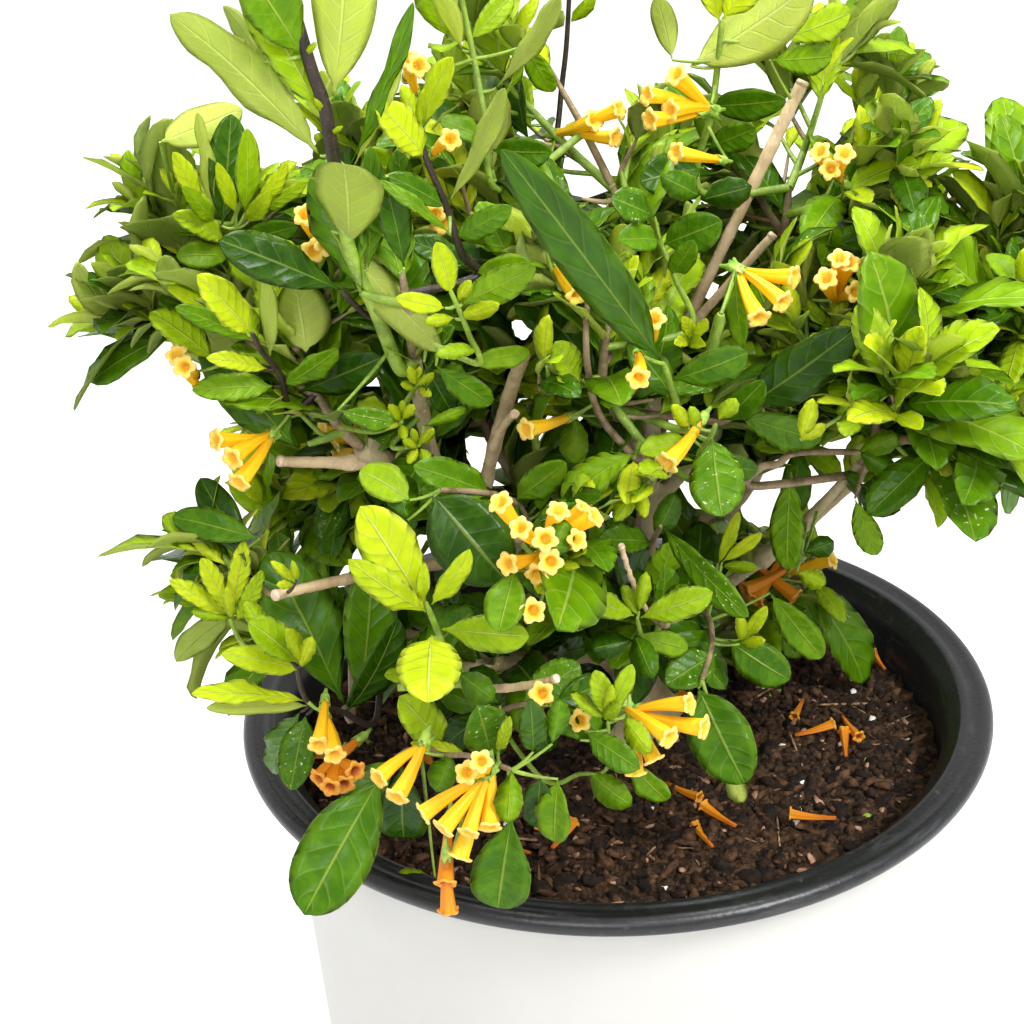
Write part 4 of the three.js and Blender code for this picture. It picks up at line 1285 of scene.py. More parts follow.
# Meshes
LEAF_MAP = "OFBake"  # where a leaf's own pattern falls on it


def new_mesh(name, points, faces, smooth=True):
    mesh = bpy.data.meshes.new(name)
    mesh.from_pydata([tuple(p) for p in points], [], faces)
    mesh.update()
    if smooth:
        mesh.shade_smooth()
    else:
        mesh.shade_flat()
    return mesh


def add_to_scene(name, data):
    made = bpy.data.objects.new(name, data)
    bpy.context.scene.collection.objects.link(made)
    return made


def new_object(name, mesh, materials=()):
    made = add_to_scene(name, mesh)
    for finish in materials:
        mesh.materials.append(finish)
    return made


def settle(made, nodes=()):
    """Ties a finished piece to the object"""
    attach(made, BODY)
    if nodes:
        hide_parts(*nodes)


def plain_copy(made):
    """Turns what an object's modifiers make into its plain mesh"""
    graph = bpy.context.evaluated_depsgraph_get()
    mesh = bpy.data.meshes.new_from_object(made.evaluated_get(graph))
    made.modifiers.clear()
    made.data = mesh
    return made


# Leaves
class Kind:
    """A sort of leaf: its colours, its gloss, how much light comes through and how speckled it is"""

    def __init__(self, upper, dark, vein, under, gloss, through, relief, specks=0.0):
        self.upper, self.dark, self.vein, self.under = map(paint, (upper, dark, vein, under))
        self.gloss, self.through, self.relief, self.specks = gloss, through, relief, specks


KINDS = {
    "lime": Kind("#e2ee2c", "#b8ce0c", "#f4faa4", "#ccd870", 0.36, 0.5, 0.36),
    "fresh": Kind("#c0dc1e", "#94b80a", "#e8f294", "#b8c462", 0.34, 0.45, 0.34),
    "green": Kind("#8eb414", "#5e8c04", "#bcd25c", "#acb858", 0.32, 0.36, 0.3),
    "deep": Kind("#628f0c", "#3a6602", "#9cb244", "#9cac50", 0.3, 0.24, 0.26),
    "dark": Kind("#3e6806", "#204202", "#84993e", "#8c9c52", 0.27, 0.16, 0.22),
    "speckled": Kind("#628f0c", "#3a6602", "#9cb244", "#9cac50", 0.3, 0.24, 0.26, 1.0),
}
# Patterns side by side on a kind's map: two shades for each size of leaf, with undersides below tops
PATTERNS = 6
SIZE_STEPS = (17.0, 30.0)
PATTERN_INSET = 0.97
PATTERN_START = 0.015
VEINS = 7.0
VEIN_SLANT = 1.3
LEAF_RELIEF = 0.0009
UNDERSIDE_ROUGHNESS = 0.65
TOP_SPECULAR = 0.2
UNDERSIDE_SPECULAR = 0.08


def leaf_finish(name, kind, upper):
    if upper:
        look = Finish(f"leaf_{name}_top", Roughness=kind.gloss, Specular_IOR_Level=TOP_SPECULAR)
    else:
        shine = {"Roughness": UNDERSIDE_ROUGHNESS, "Specular_IOR_Level": UNDERSIDE_SPECULAR}
        look = Finish(f"leaf_{name}_underside", **shine)
    place = look.node("ShaderNodeUVMap", {"uv_map": LEAF_MAP})
    parts = look.node("ShaderNodeSeparateXYZ", None, {0: place})
    column = parts * PATTERNS
    across = (column % 1.0 - 0.5) * (2 / PATTERN_INSET)
    order = column.maths("FLOOR", column)
    shade = order % 2.0
    grown = order.step(0.5, 4.5)
    along = (parts.other("Y") * 2.0) % 1.0
    out = abs(across)
    wobble = look.noise(place, 9.0, 2.0) * 0.5
    ribs = along * VEINS - out**1.2 * VEIN_SLANT + across.above(0.0) * 0.5 + wobble
    fold = abs(ribs % 1.0 - 0.5) * 2.0
    vein = fold.step(0.82, 1.0) * (1.0 - out.step(0.55, 0.95))
    midrib = 1.0 - out.step(0.015, 0.075)
    rim = out.step(0.95, 1.0)
    mottle = look.noise(place, 14.0, 4.0, 0.6)
    fine = look.noise(place, 90.0, 2.0)
    if upper:
        tint = look.blend(mottle.step(0.35, 0.75) * 0.6 + shade * 0.4, kind.dark, kind.upper)
        # Painted shade: darker in the sunken grooves along the veins
        tint = look.blend(fold.step(0.35, 0.9) * grown * 0.26, tint, kind.dark)
        tint = look.blend(vein * (grown * 0.55 + 0.15) * kind.relief, tint, kind.vein)
        tint = look.blend(midrib * 0.5, tint, kind.vein)
        tint = look.blend(rim * 0.35 + out.step(0.6, 1.0) * 0.12, tint, kind.vein)
        if kind.specks:
            spots = look.noise(place, 46.0, 2.0, 0.5).step(0.66, 0.7)
            scratches = look.noise(look.stretched(place, (60.0, 14.0, 1.0)), 1.0, 1.0, 0.4).step(0.72, 0.75)
            tint = look.blend(spots * 0.75, tint, paint("#e4e2b4"))
            tint = look.blend(scratches * 0.55, tint, paint("#c9cf96"))
        height = (1.0 - fold**3.0) * (grown * 0.45 + 0.08) - midrib * 0.9 + fine * 0.1 + mottle * 0.3
    else:
        net = 1.0 - abs(fine - 0.5).step(0.0, 0.05)
        tint = look.blend(vein * 0.35 + net * grown * 0.14, kind.under, kind.vein)
        tint = look.blend(midrib * 0.6, tint, kind.vein)
        tint = look.blend(mottle.step(0.35, 0.8) * 0.3, tint, kind.upper)
        height = vein * (grown * 0.3 + 0.05) + net * grown * 0.15 + midrib + fine * 0.15 + mottle * 0.2
    look.colour(tint)
    look.relief(height, LEAF_RELIEF, kind.relief * 2)
    look.let_light_through(kind.through, tint)
    return look.material


# Where the rows of a leaf's faces lie along it and the columns across it, for large, usual and small leaves
FINE_ROWS = (
    *(0, 0.04, 0.08, 0.13, 0.19, 0.26, 0.33, 0.41, 0.49, 0.57),
    *(0.65, 0.73, 0.8, 0.86, 0.91, 0.95, 0.975, 0.992, 1),
)
USUAL_ROWS = (0, 0.08, 0.18, 0.34, 0.52, 0.7, 0.85, 0.96, 1)
SMALL_ROWS = (0, 0.12, 0.36, 0.66, 0.9, 1)
FINE_COLUMNS = (-1, -0.66, -0.33, 0, 0.33, 0.66, 1)
USUAL_COLUMNS = (-1, -0.5, 0, 0.5, 1)
SMALL_COLUMNS = (-1, 0, 1)
FINE_LENGTH = 30.0
SMALL_LENGTH = 15.0
STALK_SHARE = 0.07
STALK_WIDTH = 0.08
TIP_ROUNDING = 0.6  # under 1 rounds a leaf's tip, and its base by how far along it is widest
LEAF_THICKNESS = 0.3
RIPPLES = 2.2  # along a leaf's edge
RIPPLE_SHIFT = 1.4  # of one edge's ripples against the other's


class LeafGrid:
    """A leaf's faces: its two ends are points, its edges are shared, and its top lies over its underside"""

    def __init__(self, rows, columns):
        self.rows, self.columns = np.array(rows, float), np.array(columns, float)
        inner_rows, count = len(rows) - 2, len(columns)
        self.size = 2 + inner_rows * count + inner_rows * (count - 2)
        tops = 2 + np.arange(inner_rows * count).reshape(inner_rows, count)
        unders = tops.copy()
        first = 2 + inner_rows * count
        unders[:, 1:-1] = first + np.arange(inner_rows * (count - 2)).reshape(inner_rows, count - 2)
        self.faces, self.spots, self.slots = [], [], []
        for slot, grid in enumerate((tops, unders)):
            self.add_side(grid, slot)

    def add_face(self, corners, spots, slot):
        if slot:
            corners, spots = corners[:1] + corners[:0:-1], spots[:1] + spots[:0:-1]
        self.faces.append(corners)
        self.spots.extend([(across, along, slot) for across, along in spots])
        self.slots.append(slot)

    def add_side(self, grid, slot):
        rows, columns = self.rows, self.columns
        for k in range(len(columns) - 1):
            left, right = columns[k], columns[k + 1]
            middle = (left + right) / 2
            first, last = grid[0], grid[-1]
            spots = [(middle, 0), (right, rows[1]), (left, rows[1])]
            self.add_face([0, first[k + 1], first[k]], spots, slot)
            spots = [(middle, 1), (left, rows[-2]), (right, rows[-2])]
            self.add_face([1, last[k], last[k + 1]], spots, slot)
            for j in range(len(grid) - 1):
                corners = [grid[j][k], grid[j][k + 1], grid[j + 1][k + 1], grid[j + 1][k]]
                low, high = rows[j + 1], rows[j + 2]
                spots = [(left, low), (right, low), (right, high), (left, high)]
                self.add_face(corners, spots, slot)


GRIDS = {
    "fine": LeafGrid(FINE_ROWS, FINE_COLUMNS),
    "usual": LeafGrid(USUAL_ROWS, USUAL_COLUMNS),
    "small": LeafGrid(SMALL_ROWS, SMALL_COLUMNS),
}


def grid_of(leaf):
    if leaf.shown and leaf.length > SMALL_LENGTH or leaf.length > FINE_LENGTH:
        return "fine" if leaf.shown else "usual"
    return "small" if leaf.length < SMALL_LENGTH else "usual"


def leaf_points(some, grid):
    """The corners of several leaves at once, in millimetres"""

    def each(name):
        return np.array([getattr(leaf, name) for leaf in some], float)[:, None, None]

    root = np.array([leaf.root for leaf in some])[:, None, None, :]
    ahead = np.array([leaf.direction for leaf in some])[:, None, None, :]
    face = np.array([leaf.face for leaf in some])[:, None, None, :]
    side = np.cross(face, ahead)
    length, droop, width = each("length"), each("droop"), each("width")
    share = grid.rows[1:-1][None, :, None]
    out = grid.columns[None, None, :]
    body = np.clip((share - STALK_SHARE) / (1 - STALK_SHARE), 0, 1)
    belly = each("belly")
    slope = TIP_ROUNDING * belly / (1 - belly)
    outline = (body / belly) ** slope * ((1 - body) / (1 - belly)) ** TIP_ROUNDING
    half = length * width / 2 * np.maximum(outline, STALK_WIDTH)
    angle = droop * (0.5 - share)
    along = length / droop * (np.sin(droop / 2) - np.sin(angle))
    lift = length / droop * (np.cos(angle) - np.cos(droop / 2))
    normal = face * np.cos(angle)[..., None] - ahead * np.sin(angle)[..., None]
    twist = (each("twist") * share)[..., None]
    sideways = side * np.cos(twist) + normal * np.sin(twist)
    upwards = normal * np.cos(twist) - side * np.sin(twist)
    spine = root + ahead * along[..., None] + face * lift[..., None]
    ripple = np.sin(WHOLE_TURN * (RIPPLES * share + each("phase")) + RIPPLE_SHIFT * (out > 0))
    rise = half * np.abs(out) * np.sin(each("fold"))
    rise = rise + each("wave") * length * ripple * out**2 * np.sin(np.pi * share)
    middle = spine + sideways * (half * out)[..., None] + upwards * rise[..., None]
    thick = LEAF_THICKNESS * (1 - np.abs(out)) * np.ones_like(half)
    tops = middle + upwards * (thick / 2)[..., None]
    unders = (middle - upwards * (thick / 2)[..., None])[:, :, 1:-1]
    ends = np.stack([root[:, 0, 0], root[:, 0, 0] + ahead[:, 0, 0] * length[:, 0]], 1)
    count = len(some)
    return np.concatenate([ends, tops.reshape(count, -1, 3), unders.reshape(count, -1, 3)], 1)


def leaf_piece(name, kind, some):
    points, faces, slots, spots = [], [], [], []
    start = 0
    for size, grid in GRIDS.items():
        group = [leaf for leaf in some if grid_of(leaf) == size]
        if not group:
            continue
        points.append(leaf_points(group, grid).reshape(-1, 3) * MM)
        local = np.array(grid.spots)
        for i, leaf in enumerate(group):
            faces.extend([[start + i * grid.size + corner for corner in face] for face in grid.faces])
            pattern = 2 * int(np.digitize(leaf.length, SIZE_STEPS)) + int(leaf.phase > 0.5)
            right = (pattern + 0.5 + local[:, 0] * PATTERN_INSET / 2) / PATTERNS
            down = (local[:, 2] + PATTERN_START + local[:, 1] * PATTERN_INSET) / 2
            spots.append(np.column_stack([right, down]))
        slots.extend(grid.slots * len(group))
        start += len(group) * grid.size
    mesh = new_mesh(name, np.concatenate(points), faces)
    mesh.polygons.foreach_set("material_index", slots)
    layer = mesh.uv_layers.new(name=LEAF_MAP)
    layer.data.foreach_set("uv", np.concatenate(spots).ravel())
    materials = [leaf_finish(name, kind, True), leaf_finish(name, kind, False)]
    return new_object(f"leaves_{name}", mesh, materials)


mass_names = [m.name for m in MASSES]
for name, kind in KINDS.items():
    some = [leaf for leaf in leaves if leaf.kind == name]
    settle(leaf_piece(name, kind, some), mass_names)


# Geometry node trees, each with named inputs
def new_tree(name, inputs):
    tree = bpy.data.node_groups.new(name, "GeometryNodeTree")
    tree.interface.new_socket("Geometry", in_out="INPUT", socket_type="NodeSocketGeometry")
    for label, kind in inputs.items():
        tree.interface.new_socket(label, in_out="INPUT", socket_type=kind)
    tree.interface.new_socket("Geometry", in_out="OUTPUT", socket_type="NodeSocketGeometry")
    nodes = Nodes(tree)
    start = nodes.node("NodeGroupInput")
    return nodes, {label: start.other(label) for label in ["Geometry", *inputs]}


def end_tree(nodes, shape, material):
    real = nodes.node("GeometryNodeRealizeInstances", None, {"Geometry": shape})
    smooth = nodes.node("GeometryNodeSetShadeSmooth", None, {"Geometry": real})
    finished = nodes.node("GeometryNodeSetMaterial", None, {"Geometry": smooth, "Material": material})
    end = nodes.tree.nodes.new("NodeGroupOutput")
    nodes.feed(end.inputs["Geometry"], finished)
    return nodes.tree


def run_tree(made, tree, values):
    """Puts a tree on an object with its inputs set, and keeps what it makes as a plain mesh"""
    modifier = made.modifiers.new("shape", "NODES")
    modifier.node_group = tree
    for item in tree.interface.items_tree:
        if item.in_out == "INPUT" and item.name in values:
            modifier[item.identifier] = values[item.name]
    return plain_copy(made)


def named(nodes, name, kind="FLOAT"):
    return nodes.node("GeometryNodeInputNamedAttribute", {"data_type": kind}, {"Name": name})


def instance_of(nodes, shape):
    return nodes.node("GeometryNodeObjectInfo", None, {"Object": shape, "As Instance": True}, "Geometry")


def twig_tree():
    nodes, given = new_tree("twigs", {"Sides": "NodeSocketInt", "Bark": "NodeSocketMaterial"})
    line = nodes.node("GeometryNodeMeshToCurve", None, {"Mesh": given["Geometry"]})
    ring = {"Resolution": given["Sides"], "Radius": 1.0}
    section = nodes.node("GeometryNodeCurvePrimitiveCircle", None, ring)
    inputs = {"Curve": line, "Profile Curve": section, "Scale": named(nodes, "girth"), "Fill Caps": True}
    return end_tree(nodes, nodes.node("GeometryNodeCurveToMesh", None, inputs), given["Bark"])


def bare_points(name, points, edges=(), **values):
    """An object of points alone, with a number for each of them under each name"""
    mesh = bpy.data.meshes.new(name)
    mesh.from_pydata([tuple(p) for p in points], edges, [])
    for label, numbers in values.items():
        mesh.attributes.new(label, "FLOAT", "POINT").data.foreach_set("value", numbers)
    return new_object(name, mesh)


TWIG_SIDES = 8


def twig_piece(name, bark, some, tree):
    points = np.concatenate([twig.line for twig in some]) * MM
    girths = np.concatenate([twig.girth for twig in some]) * MM
    edges, start = [], 0
    for twig in some:
        edges.extend([(start + i, start + i + 1) for i in range(len(twig.line) - 1)])
        start += len(twig.line)
    made = bare_points(name, points, edges, girth=girths)
    return run_tree(made, tree, {"Sides": TWIG_SIDES, "Bark": bark})


def twig_finish(name, light, dark, spots):
    look = Finish(name, Roughness=0.5)
    place = look.place()
    patches = look.noise(place, 160.0, 4.0, 0.6)
    dots = look.cells(place, 900.0)
    tint = look.blend(patches.step(0.3, 0.7), paint(dark), paint(light))
    tint = look.blend((1.0 - dots.step(0.12, 0.25)) * 0.5, tint, paint(spots))
    look.colour(tint)
    look.relief(look.noise(place, 700.0, 3.0), 0.0004, 0.6)
    return look.material


TWIG_BARKS = {
    "green": twig_finish("young_shoot_bark", "#8aa636", "#5f7a20", "#b9c27a"),
    "brown": twig_finish("twig_bark", "#9a8666", "#5f4c34", "#c4b492"),
    "purple": twig_finish("dark_shoot_bark", "#34251c", "#19110b", "#66503e"),
}
tree = twig_tree()
for name, bark in TWIG_BARKS.items():
    some = [twig for twig in twigs if twig.bark == name]
    settle(twig_piece(f"twigs_{name}", bark, some, tree), mass_names)


# Wood: limbs are joined by a fine remesh, so that each grows out of the one that carries it, and then
# the bark's relief is laid over them along the way that they run.
REMESH_SIZE = 0.95
EASE_ROUNDS = 3
EASE_SHARE = 0.5
LIMB_SIDES = 16
RING_SPACING = 1.6
FEWEST_RINGS = 8
TRUNK_SINK = 6.0
# Old leaf scars: how far apart they are, how far each reaches and how much it swells the limb
SCAR_SPACING = 9
SCAR_REACH = 1.6
SCAR_SWELL = 0.1
# The collar at a limb's root: how much it swells the limb and how far it reaches
COLLAR_SWELL = 0.45
COLLAR_REACH = 5
# Lobes round a limb: how many, how deep, and how they turn along it
LIMB_LOBES = ((2, 0.05, 5), (3, 0.04, -8))
TRUNK_LOBES = 5
TRUNK_LOBE_DEPTH = 0.22
TRUNK_LOBE_FADE = 7
# The bark's relief: its depth, how fine its ridges and lumps are, the ridges' layers (how fast they weaken,
# how much finer each one is, and how many), how much ridges are drawn out along the limb, how much each
# counts, and how near to the middle line it fades
BARK_RELIEF = 0.34
RIDGE_SCALE = 520
RIDGE_LAYERS = (0.9, 2.0, 3)
LUMP_SCALE = 130
RIDGE_STRETCH = 0.65
RIDGE_SHARE = 0.7
LUMP_SHARE = 0.6
RELIEF_FADE = 0.005
RELIEF_STEPS = 30  # places along a limb where its heading is taken
LIMB_SEED_STEP = 31


def limb_rings(one):
    """Rings of points along a limb, fuller at the root and at old leaf scars"""
    curve = curve_of(one)
    length = curve.length()
    count = max(FEWEST_RINGS, int(length / RING_SPACING))
    shares = np.linspace(0, 1, count)
    centres = curve.point(shares)
    radii = limb_radius(one, shares)
    random = stream(len(one["name"]) * LIMB_SEED_STEP + int(length))
    for _ in range(int(length / SCAR_SPACING)):
        scar = random()
        radii = radii * (1 + SCAR_SWELL * np.exp(-(((shares - scar) * length / SCAR_REACH) ** 2)))
    if one is not TRUNK:
        radii = radii * (1 + COLLAR_SWELL * np.exp(-shares * length / COLLAR_REACH))
    headings = unit(np.gradient(centres, axis=0))
    side = unit(np.cross(headings[0], ACROSS))
    rings = []
    for centre, heading, radius, share in zip(centres, headings, radii, shares):
        side = unit(side - heading * side.dot(heading))
        other = np.cross(heading, side)
        turns = np.arange(LIMB_SIDES) * WHOLE_TURN / LIMB_SIDES
        lobes = 1
        for number, depth, turning in LIMB_LOBES:
            lobes = lobes + depth * np.sin(number * turns + turning * share)
        if one is TRUNK:
            depth = TRUNK_LOBE_DEPTH * np.exp(-TRUNK_LOBE_FADE * share)
            lobes = lobes + depth * np.sin(TRUNK_LOBES * turns + 1)
        rim = np.outer(np.cos(turns) * lobes, side) + np.outer(np.sin(turns) * lobes, other)
        rings.append(centre + rim * radius)
    if one is TRUNK:
        rings.insert(0, rings[0] - UP * TRUNK_SINK)
    return np.array(rings)


def tube_faces(start, rings, sides):
    faces = []
    for j in range(rings - 1):
        for k in range(sides):
            after = (k + 1) % sides
            low, high = start + j * sides, start + (j + 1) * sides
            faces.append([low + k, low + after, high + after, high + k])
    faces.append([start + k for k in range(sides)][::-1])
    faces.append([start + (rings - 1) * sides + k for k in range(sides)])
    return faces


def add_bark_relief(mesh, limbs):
    lines, headings = [], []
    for one in limbs:
        curve = curve_of(one)
        for share in np.linspace(0, 1, RELIEF_STEPS):
            lines.append(curve.point(share) * MM)
            headings.append(Vector(curve.heading(share)))
    finder = KDTree(len(lines))
    for i, place in enumerate(lines):
        finder.insert(place, i)
    finder.balance()
    count = len(mesh.vertices)
    places, normals = np.empty(count * 3), np.empty(count * 3)
    mesh.vertices.foreach_get("co", places)
    mesh.vertices.foreach_get("normal", normals)
    places, normals = places.reshape(-1, 3), normals.reshape(-1, 3)
    lifts = np.empty(count)
    for number, place in enumerate(places):
        corner = Vector(place)
        _, i, far = finder.find(corner)
        drawn_out = corner - headings[i] * (corner.dot(headings[i]) * RIDGE_STRETCH)
        ridges = noise.fractal(drawn_out * RIDGE_SCALE, *RIDGE_LAYERS)
        lumps = noise.noise(corner * LUMP_SCALE)
        depth = BARK_RELIEF * MM * min(1.0, far / RELIEF_FADE)
        lifts[number] = depth * (RIDGE_SHARE * ridges + LUMP_SHARE * lumps)
    places += normals * lifts[:, None]
    mesh.vertices.foreach_set("co", places.ravel())
    mesh.update()


def wood_piece(name, limbs, finish):
    points, faces = [], []
    for one in limbs:
        rings = limb_rings(one)
        faces.extend(tube_faces(len(points), len(rings), LIMB_SIDES))
        points.extend(rings.reshape(-1, 3) * MM)
    made = new_object(name, new_mesh(name, points, faces))
    remesh = made.modifiers.new("join", "REMESH")
    remesh.mode = "VOXEL"
    remesh.voxel_size = REMESH_SIZE * MM
    smooth = made.modifiers.new("ease", "SMOOTH")
    smooth.iterations = EASE_ROUNDS
    smooth.factor = EASE_SHARE
    plain_copy(made)
    add_bark_relief(made.data, limbs)
    made.data.shade_smooth()
    made.data.materials.clear()
    made.data.materials.append(finish)
    return made


def bark_finish(name, light, middle, dark):
    look = Finish(name, Roughness=0.8, Specular_IOR_Level=0.25)
    place = look.place()
    patches = look.noise(place, 70.0, 5.0, 0.6)
    streaks = look.noise(look.stretched(place, (1.0, 1.0, 0.22)), 700.0, 5.0, 0.65)
    stains = look.noise(place, 210.0, 4.0, 0.6)
    pores = look.cells(place, 300.0)
    tint = look.blend(patches.step(0.35, 0.65), paint(middle), paint(light))
    tint = look.blend(streaks.step(0.5, 0.75) * 0.4, tint, paint(dark))
    tint = look.blend(stains.step(0.55, 0.75) * 0.35, tint, paint(dark))
    tint = look.blend((1.0 - pores.step(0.12, 0.2)) * 0.5, tint, paint("#d8c9ae"))
    look.colour(tint)
    look.relief(streaks + stains * 0.6 + (1.0 - pores.step(0.1, 0.25)) * 0.3, 0.0005, 0.7)
    return look.material


old_bark = bark_finish("old_bark", "#b4a684", "#94845f", "#5c4e38")
stick_bark = bark_finish("stick_bark", "#d0b894", "#b29a74", "#76624a")
settle(wood_piece("wood", WOOD, old_bark), [one["name"] for one in WOOD])
settle(wood_piece("pruned_sticks", PRUNED, stick_bark), [one["name"] for one in CUT_STICKS])


def cut_face_finish():
    look = Finish("cut_wood", Roughness=0.8)
    place = look.place()
    patches = look.noise(place, 500.0, 4.0, 0.6)
    tint = look.blend(patches.step(0.35, 0.7), paint("#c9a98c"), paint("#e6d3bb"))
    look.colour(tint)
    look.relief(patches, 0.0004, 0.5)
    return look.material


CUT_FACE_SIDES = 14
# Rings of the dome over a cut: how far beyond the cut, and how wide beside the stick
CUT_FACE_RINGS = ((-0.9, 1.02), (0.25, 0.98), (0.5, 0.8), (0.35, 0.45))


def cut_faces_piece():
    """The pale end of each pruned stick: a low dome over its cut"""
    points, faces = [], []
    for one in PRUNED:
        curve = curve_of(one)
        heading = curve.heading(1)
        side = around(heading, 0.0)
        other = np.cross(heading, side)
        radius = float(limb_radius(one, 1))
        start = len(points)
        for lift, share in CUT_FACE_RINGS:
            for k in range(CUT_FACE_SIDES):
                turn = WHOLE_TURN * k / CUT_FACE_SIDES
                rim = (side * math.cos(turn) + other * math.sin(turn)) * radius * share
                points.append((curve.point(1) + heading * lift + rim) * MM)
        faces.extend(tube_faces(start, len(CUT_FACE_RINGS), CUT_FACE_SIDES))
    return new_object("cut_faces", new_mesh("cut_faces", points, faces), [cut_face_finish()])


settle(cut_faces_piece())

# Blossom. Each flower is a tube that opens into five short lobes, with a hollow throat.
FLOWER_SIDES = 20
LOBES = 5
# Rings from the root up: height and radius, and for lobes the height and radius of tips, then of notches
FLOWER_RINGS = ((0.0, 0.85), (4.0, 1.05), (9.0, 1.4), (14.0, 1.85), (18.0, 2.2), (19.7, 2.35))
LOBE_RINGS = ((19.9, 3.5, 20.5, 2.45), (20.5, 3.3, 20.8, 2.2))
THROAT_RINGS = ((20.2, 1.45), (17.5, 1.2))
CALYX_RINGS = ((-2.5, 0.5), (-0.6, 0.65), (0.4, 1.25), (3.4, 1.45))
CALYX_TEETH = (5.0, 1.6, 3.4, 1.5)
CALYX_MOUTH = (2.6, 1.1)
LOBE_CURVE = 1.2
FLOWER_BEND = 0.9
BEND_REACH = 0.9


def turned_shape(name, rings, sides, finish):
    """A shape of rings, each a list of its corners, closed at both ends"""
    points = np.concatenate(rings) * MM
    mesh = new_mesh(name, points, tube_faces(0, len(rings), sides))
    layer = mesh.uv_layers.new(name=LEAF_MAP)
    for face in mesh.polygons:
        for loop in face.loop_indices:
            row, column = divmod(mesh.loops[loop].vertex_index, sides)
            middle = np.mean([v % sides for v in face.vertices])
            wraps = column == 0 and middle > sides / 3 and len(face.vertices) == 4
            layer.data[loop].uv = ((column + sides * wraps) / sides, row / (len(rings) - 1))
    return new_object(name, mesh, [finish])


def ring_of(height, radius, notch=None):
    """A ring of corners, bent with the flower. A lobed one has a height and radius for its notches too."""
    turns = np.arange(FLOWER_SIDES) * WHOLE_TURN / FLOWER_SIDES
    low_height, low_radius = notch or (height, radius)
    share = np.abs(np.cos(LOBES * turns / 2)) ** LOBE_CURVE
    heights = mix((low_height, height), share)
    radii = mix((low_radius, radius), share)
    bend = FLOWER_BEND * np.sin(np.pi * np.clip(heights / FLOWER_LENGTH, 0, 1) * BEND_REACH)
    return np.column_stack([np.cos(turns) * radii + bend, np.sin(turns) * radii, heights])


def flower_finish(name, base, middle, mouth, rim, throat):
    look = Finish(name, Roughness=0.45, Specular_IOR_Level=0.4)
    place = look.node("ShaderNodeUVMap", {"uv_map": LEAF_MAP})
    turn = look.node("ShaderNodeSeparateXYZ", None, {0: place})
    along = turn.other("Y")
    rows = len(FLOWER_RINGS) + len(LOBE_RINGS) + len(THROAT_RINGS) - 1
    ribs = abs((turn * float(LOBES)) % 1.0 - 0.5) * 2.0
    tint = look.blend(along.step(0.0, 3 / rows), paint(base), paint(middle))
    tint = look.blend(along.step(3 / rows, 5 / rows), tint, paint(mouth))
    lobe = along.step(5.2 / rows, 6.2 / rows) * (1.0 - along.step(7.2 / rows, 8 / rows))
    tint = look.blend(lobe * 0.65, tint, paint(rim))
    tint = look.blend(along.step(7.6 / rows, 8.6 / rows), tint, paint(throat))
    tint = look.blend(ribs.step(0.75, 1.0) * 0.25, tint, paint(throat))
    look.colour(tint)
    look.relief(ribs, 0.0006, 0.5)
    look.let_light_through(0.3, paint(mouth))
    return look.material


def calyx_finish():
    look = Finish("calyx", Roughness=0.5)
    patches = look.noise(look.place(), 400.0, 3.0)
    look.colour(look.blend(patches.step(0.35, 0.65), paint("#6f9a30"), paint("#a6c052")))
    look.relief(patches, 0.0004, 0.4)
    return look.material


def flower_rings():
    rings = [ring_of(height, radius) for height, radius in FLOWER_RINGS]
    rings += [ring_of(height, radius, notch) for height, radius, *notch in LOBE_RINGS]
    return rings + [ring_of(height, radius) for height, radius in THROAT_RINGS]


def calyx_rings():
    rings = [ring_of(height, radius) for height, radius in CALYX_RINGS]
    high, wide, low, narrow = CALYX_TEETH
    return [*rings, ring_of(high, wide, (low, narrow)), ring_of(*CALYX_MOUTH)]


def flower_tree():
    inputs = {"Flower": "NodeSocketObject", "Scale": "NodeSocketFloat", "Finish": "NodeSocketMaterial"}
    nodes, given = new_tree("blossom", inputs)
    shape = instance_of(nodes, given["Flower"])
    aim = {"Vector": named(nodes, "aim", "FLOAT_VECTOR")}
    aimed = nodes.node("FunctionNodeAlignRotationToVector", {"axis": "Z"}, aim)
    spin = nodes.node("FunctionNodeAxisAngleToRotation", None, {"Angle": named(nodes, "turn")})
    turned = nodes.node("FunctionNodeRotateRotation", {"rotation_space": "LOCAL"}, {0: aimed, 1: spin})
    size = named(nodes, "size") * given["Scale"]
    placed = {"Points": given["Geometry"], "Instance": shape, "Rotation": turned, "Scale": size}
    return end_tree(nodes, nodes.node("GeometryNodeInstanceOnPoints", None, placed), given["Finish"])


def blossom_piece(name, some, shape, finish, tree):
    roots = [f.root * MM for f in some]
    made = bare_points(name, roots, turn=[f.turn for f in some], size=[f.size for f in some])
    aims = np.array([f.aim for f in some])
    made.data.attributes.new("aim", "FLOAT_VECTOR", "POINT").data.foreach_set("vector", aims.ravel())
    return run_tree(made, tree, {"Flower": shape, "Scale": 1.0, "Finish": finish})


# Withered blossom on the mix: spots of the picture, and which way each lies
FALLEN = [
    (795, 735, 0.4), (846, 756, 1.5), (736, 826, 2.3), (836, 818, 3.0), (842, 716, 5.0), (552, 848, 1.1),
    (600, 700, 0.2),
]
FALLEN_LIFT = 2.5
FALLEN_SIZE = 0.68
FALLEN_TILT = 0.05
# More of it anywhere on the mix
STREWN = 15
STREWN_RADIUS = 100
STREWN_LIFT = 1.5
STREWN_SIZE = (0.5, 0.2)
STREWN_SEED = 77


def fallen_flower(place, turn, size):
    aim = unit(vector((math.cos(turn), math.sin(turn), FALLEN_TILT)))
    return Record(root=place, aim=aim, turn=turn, size=size, faded=True)


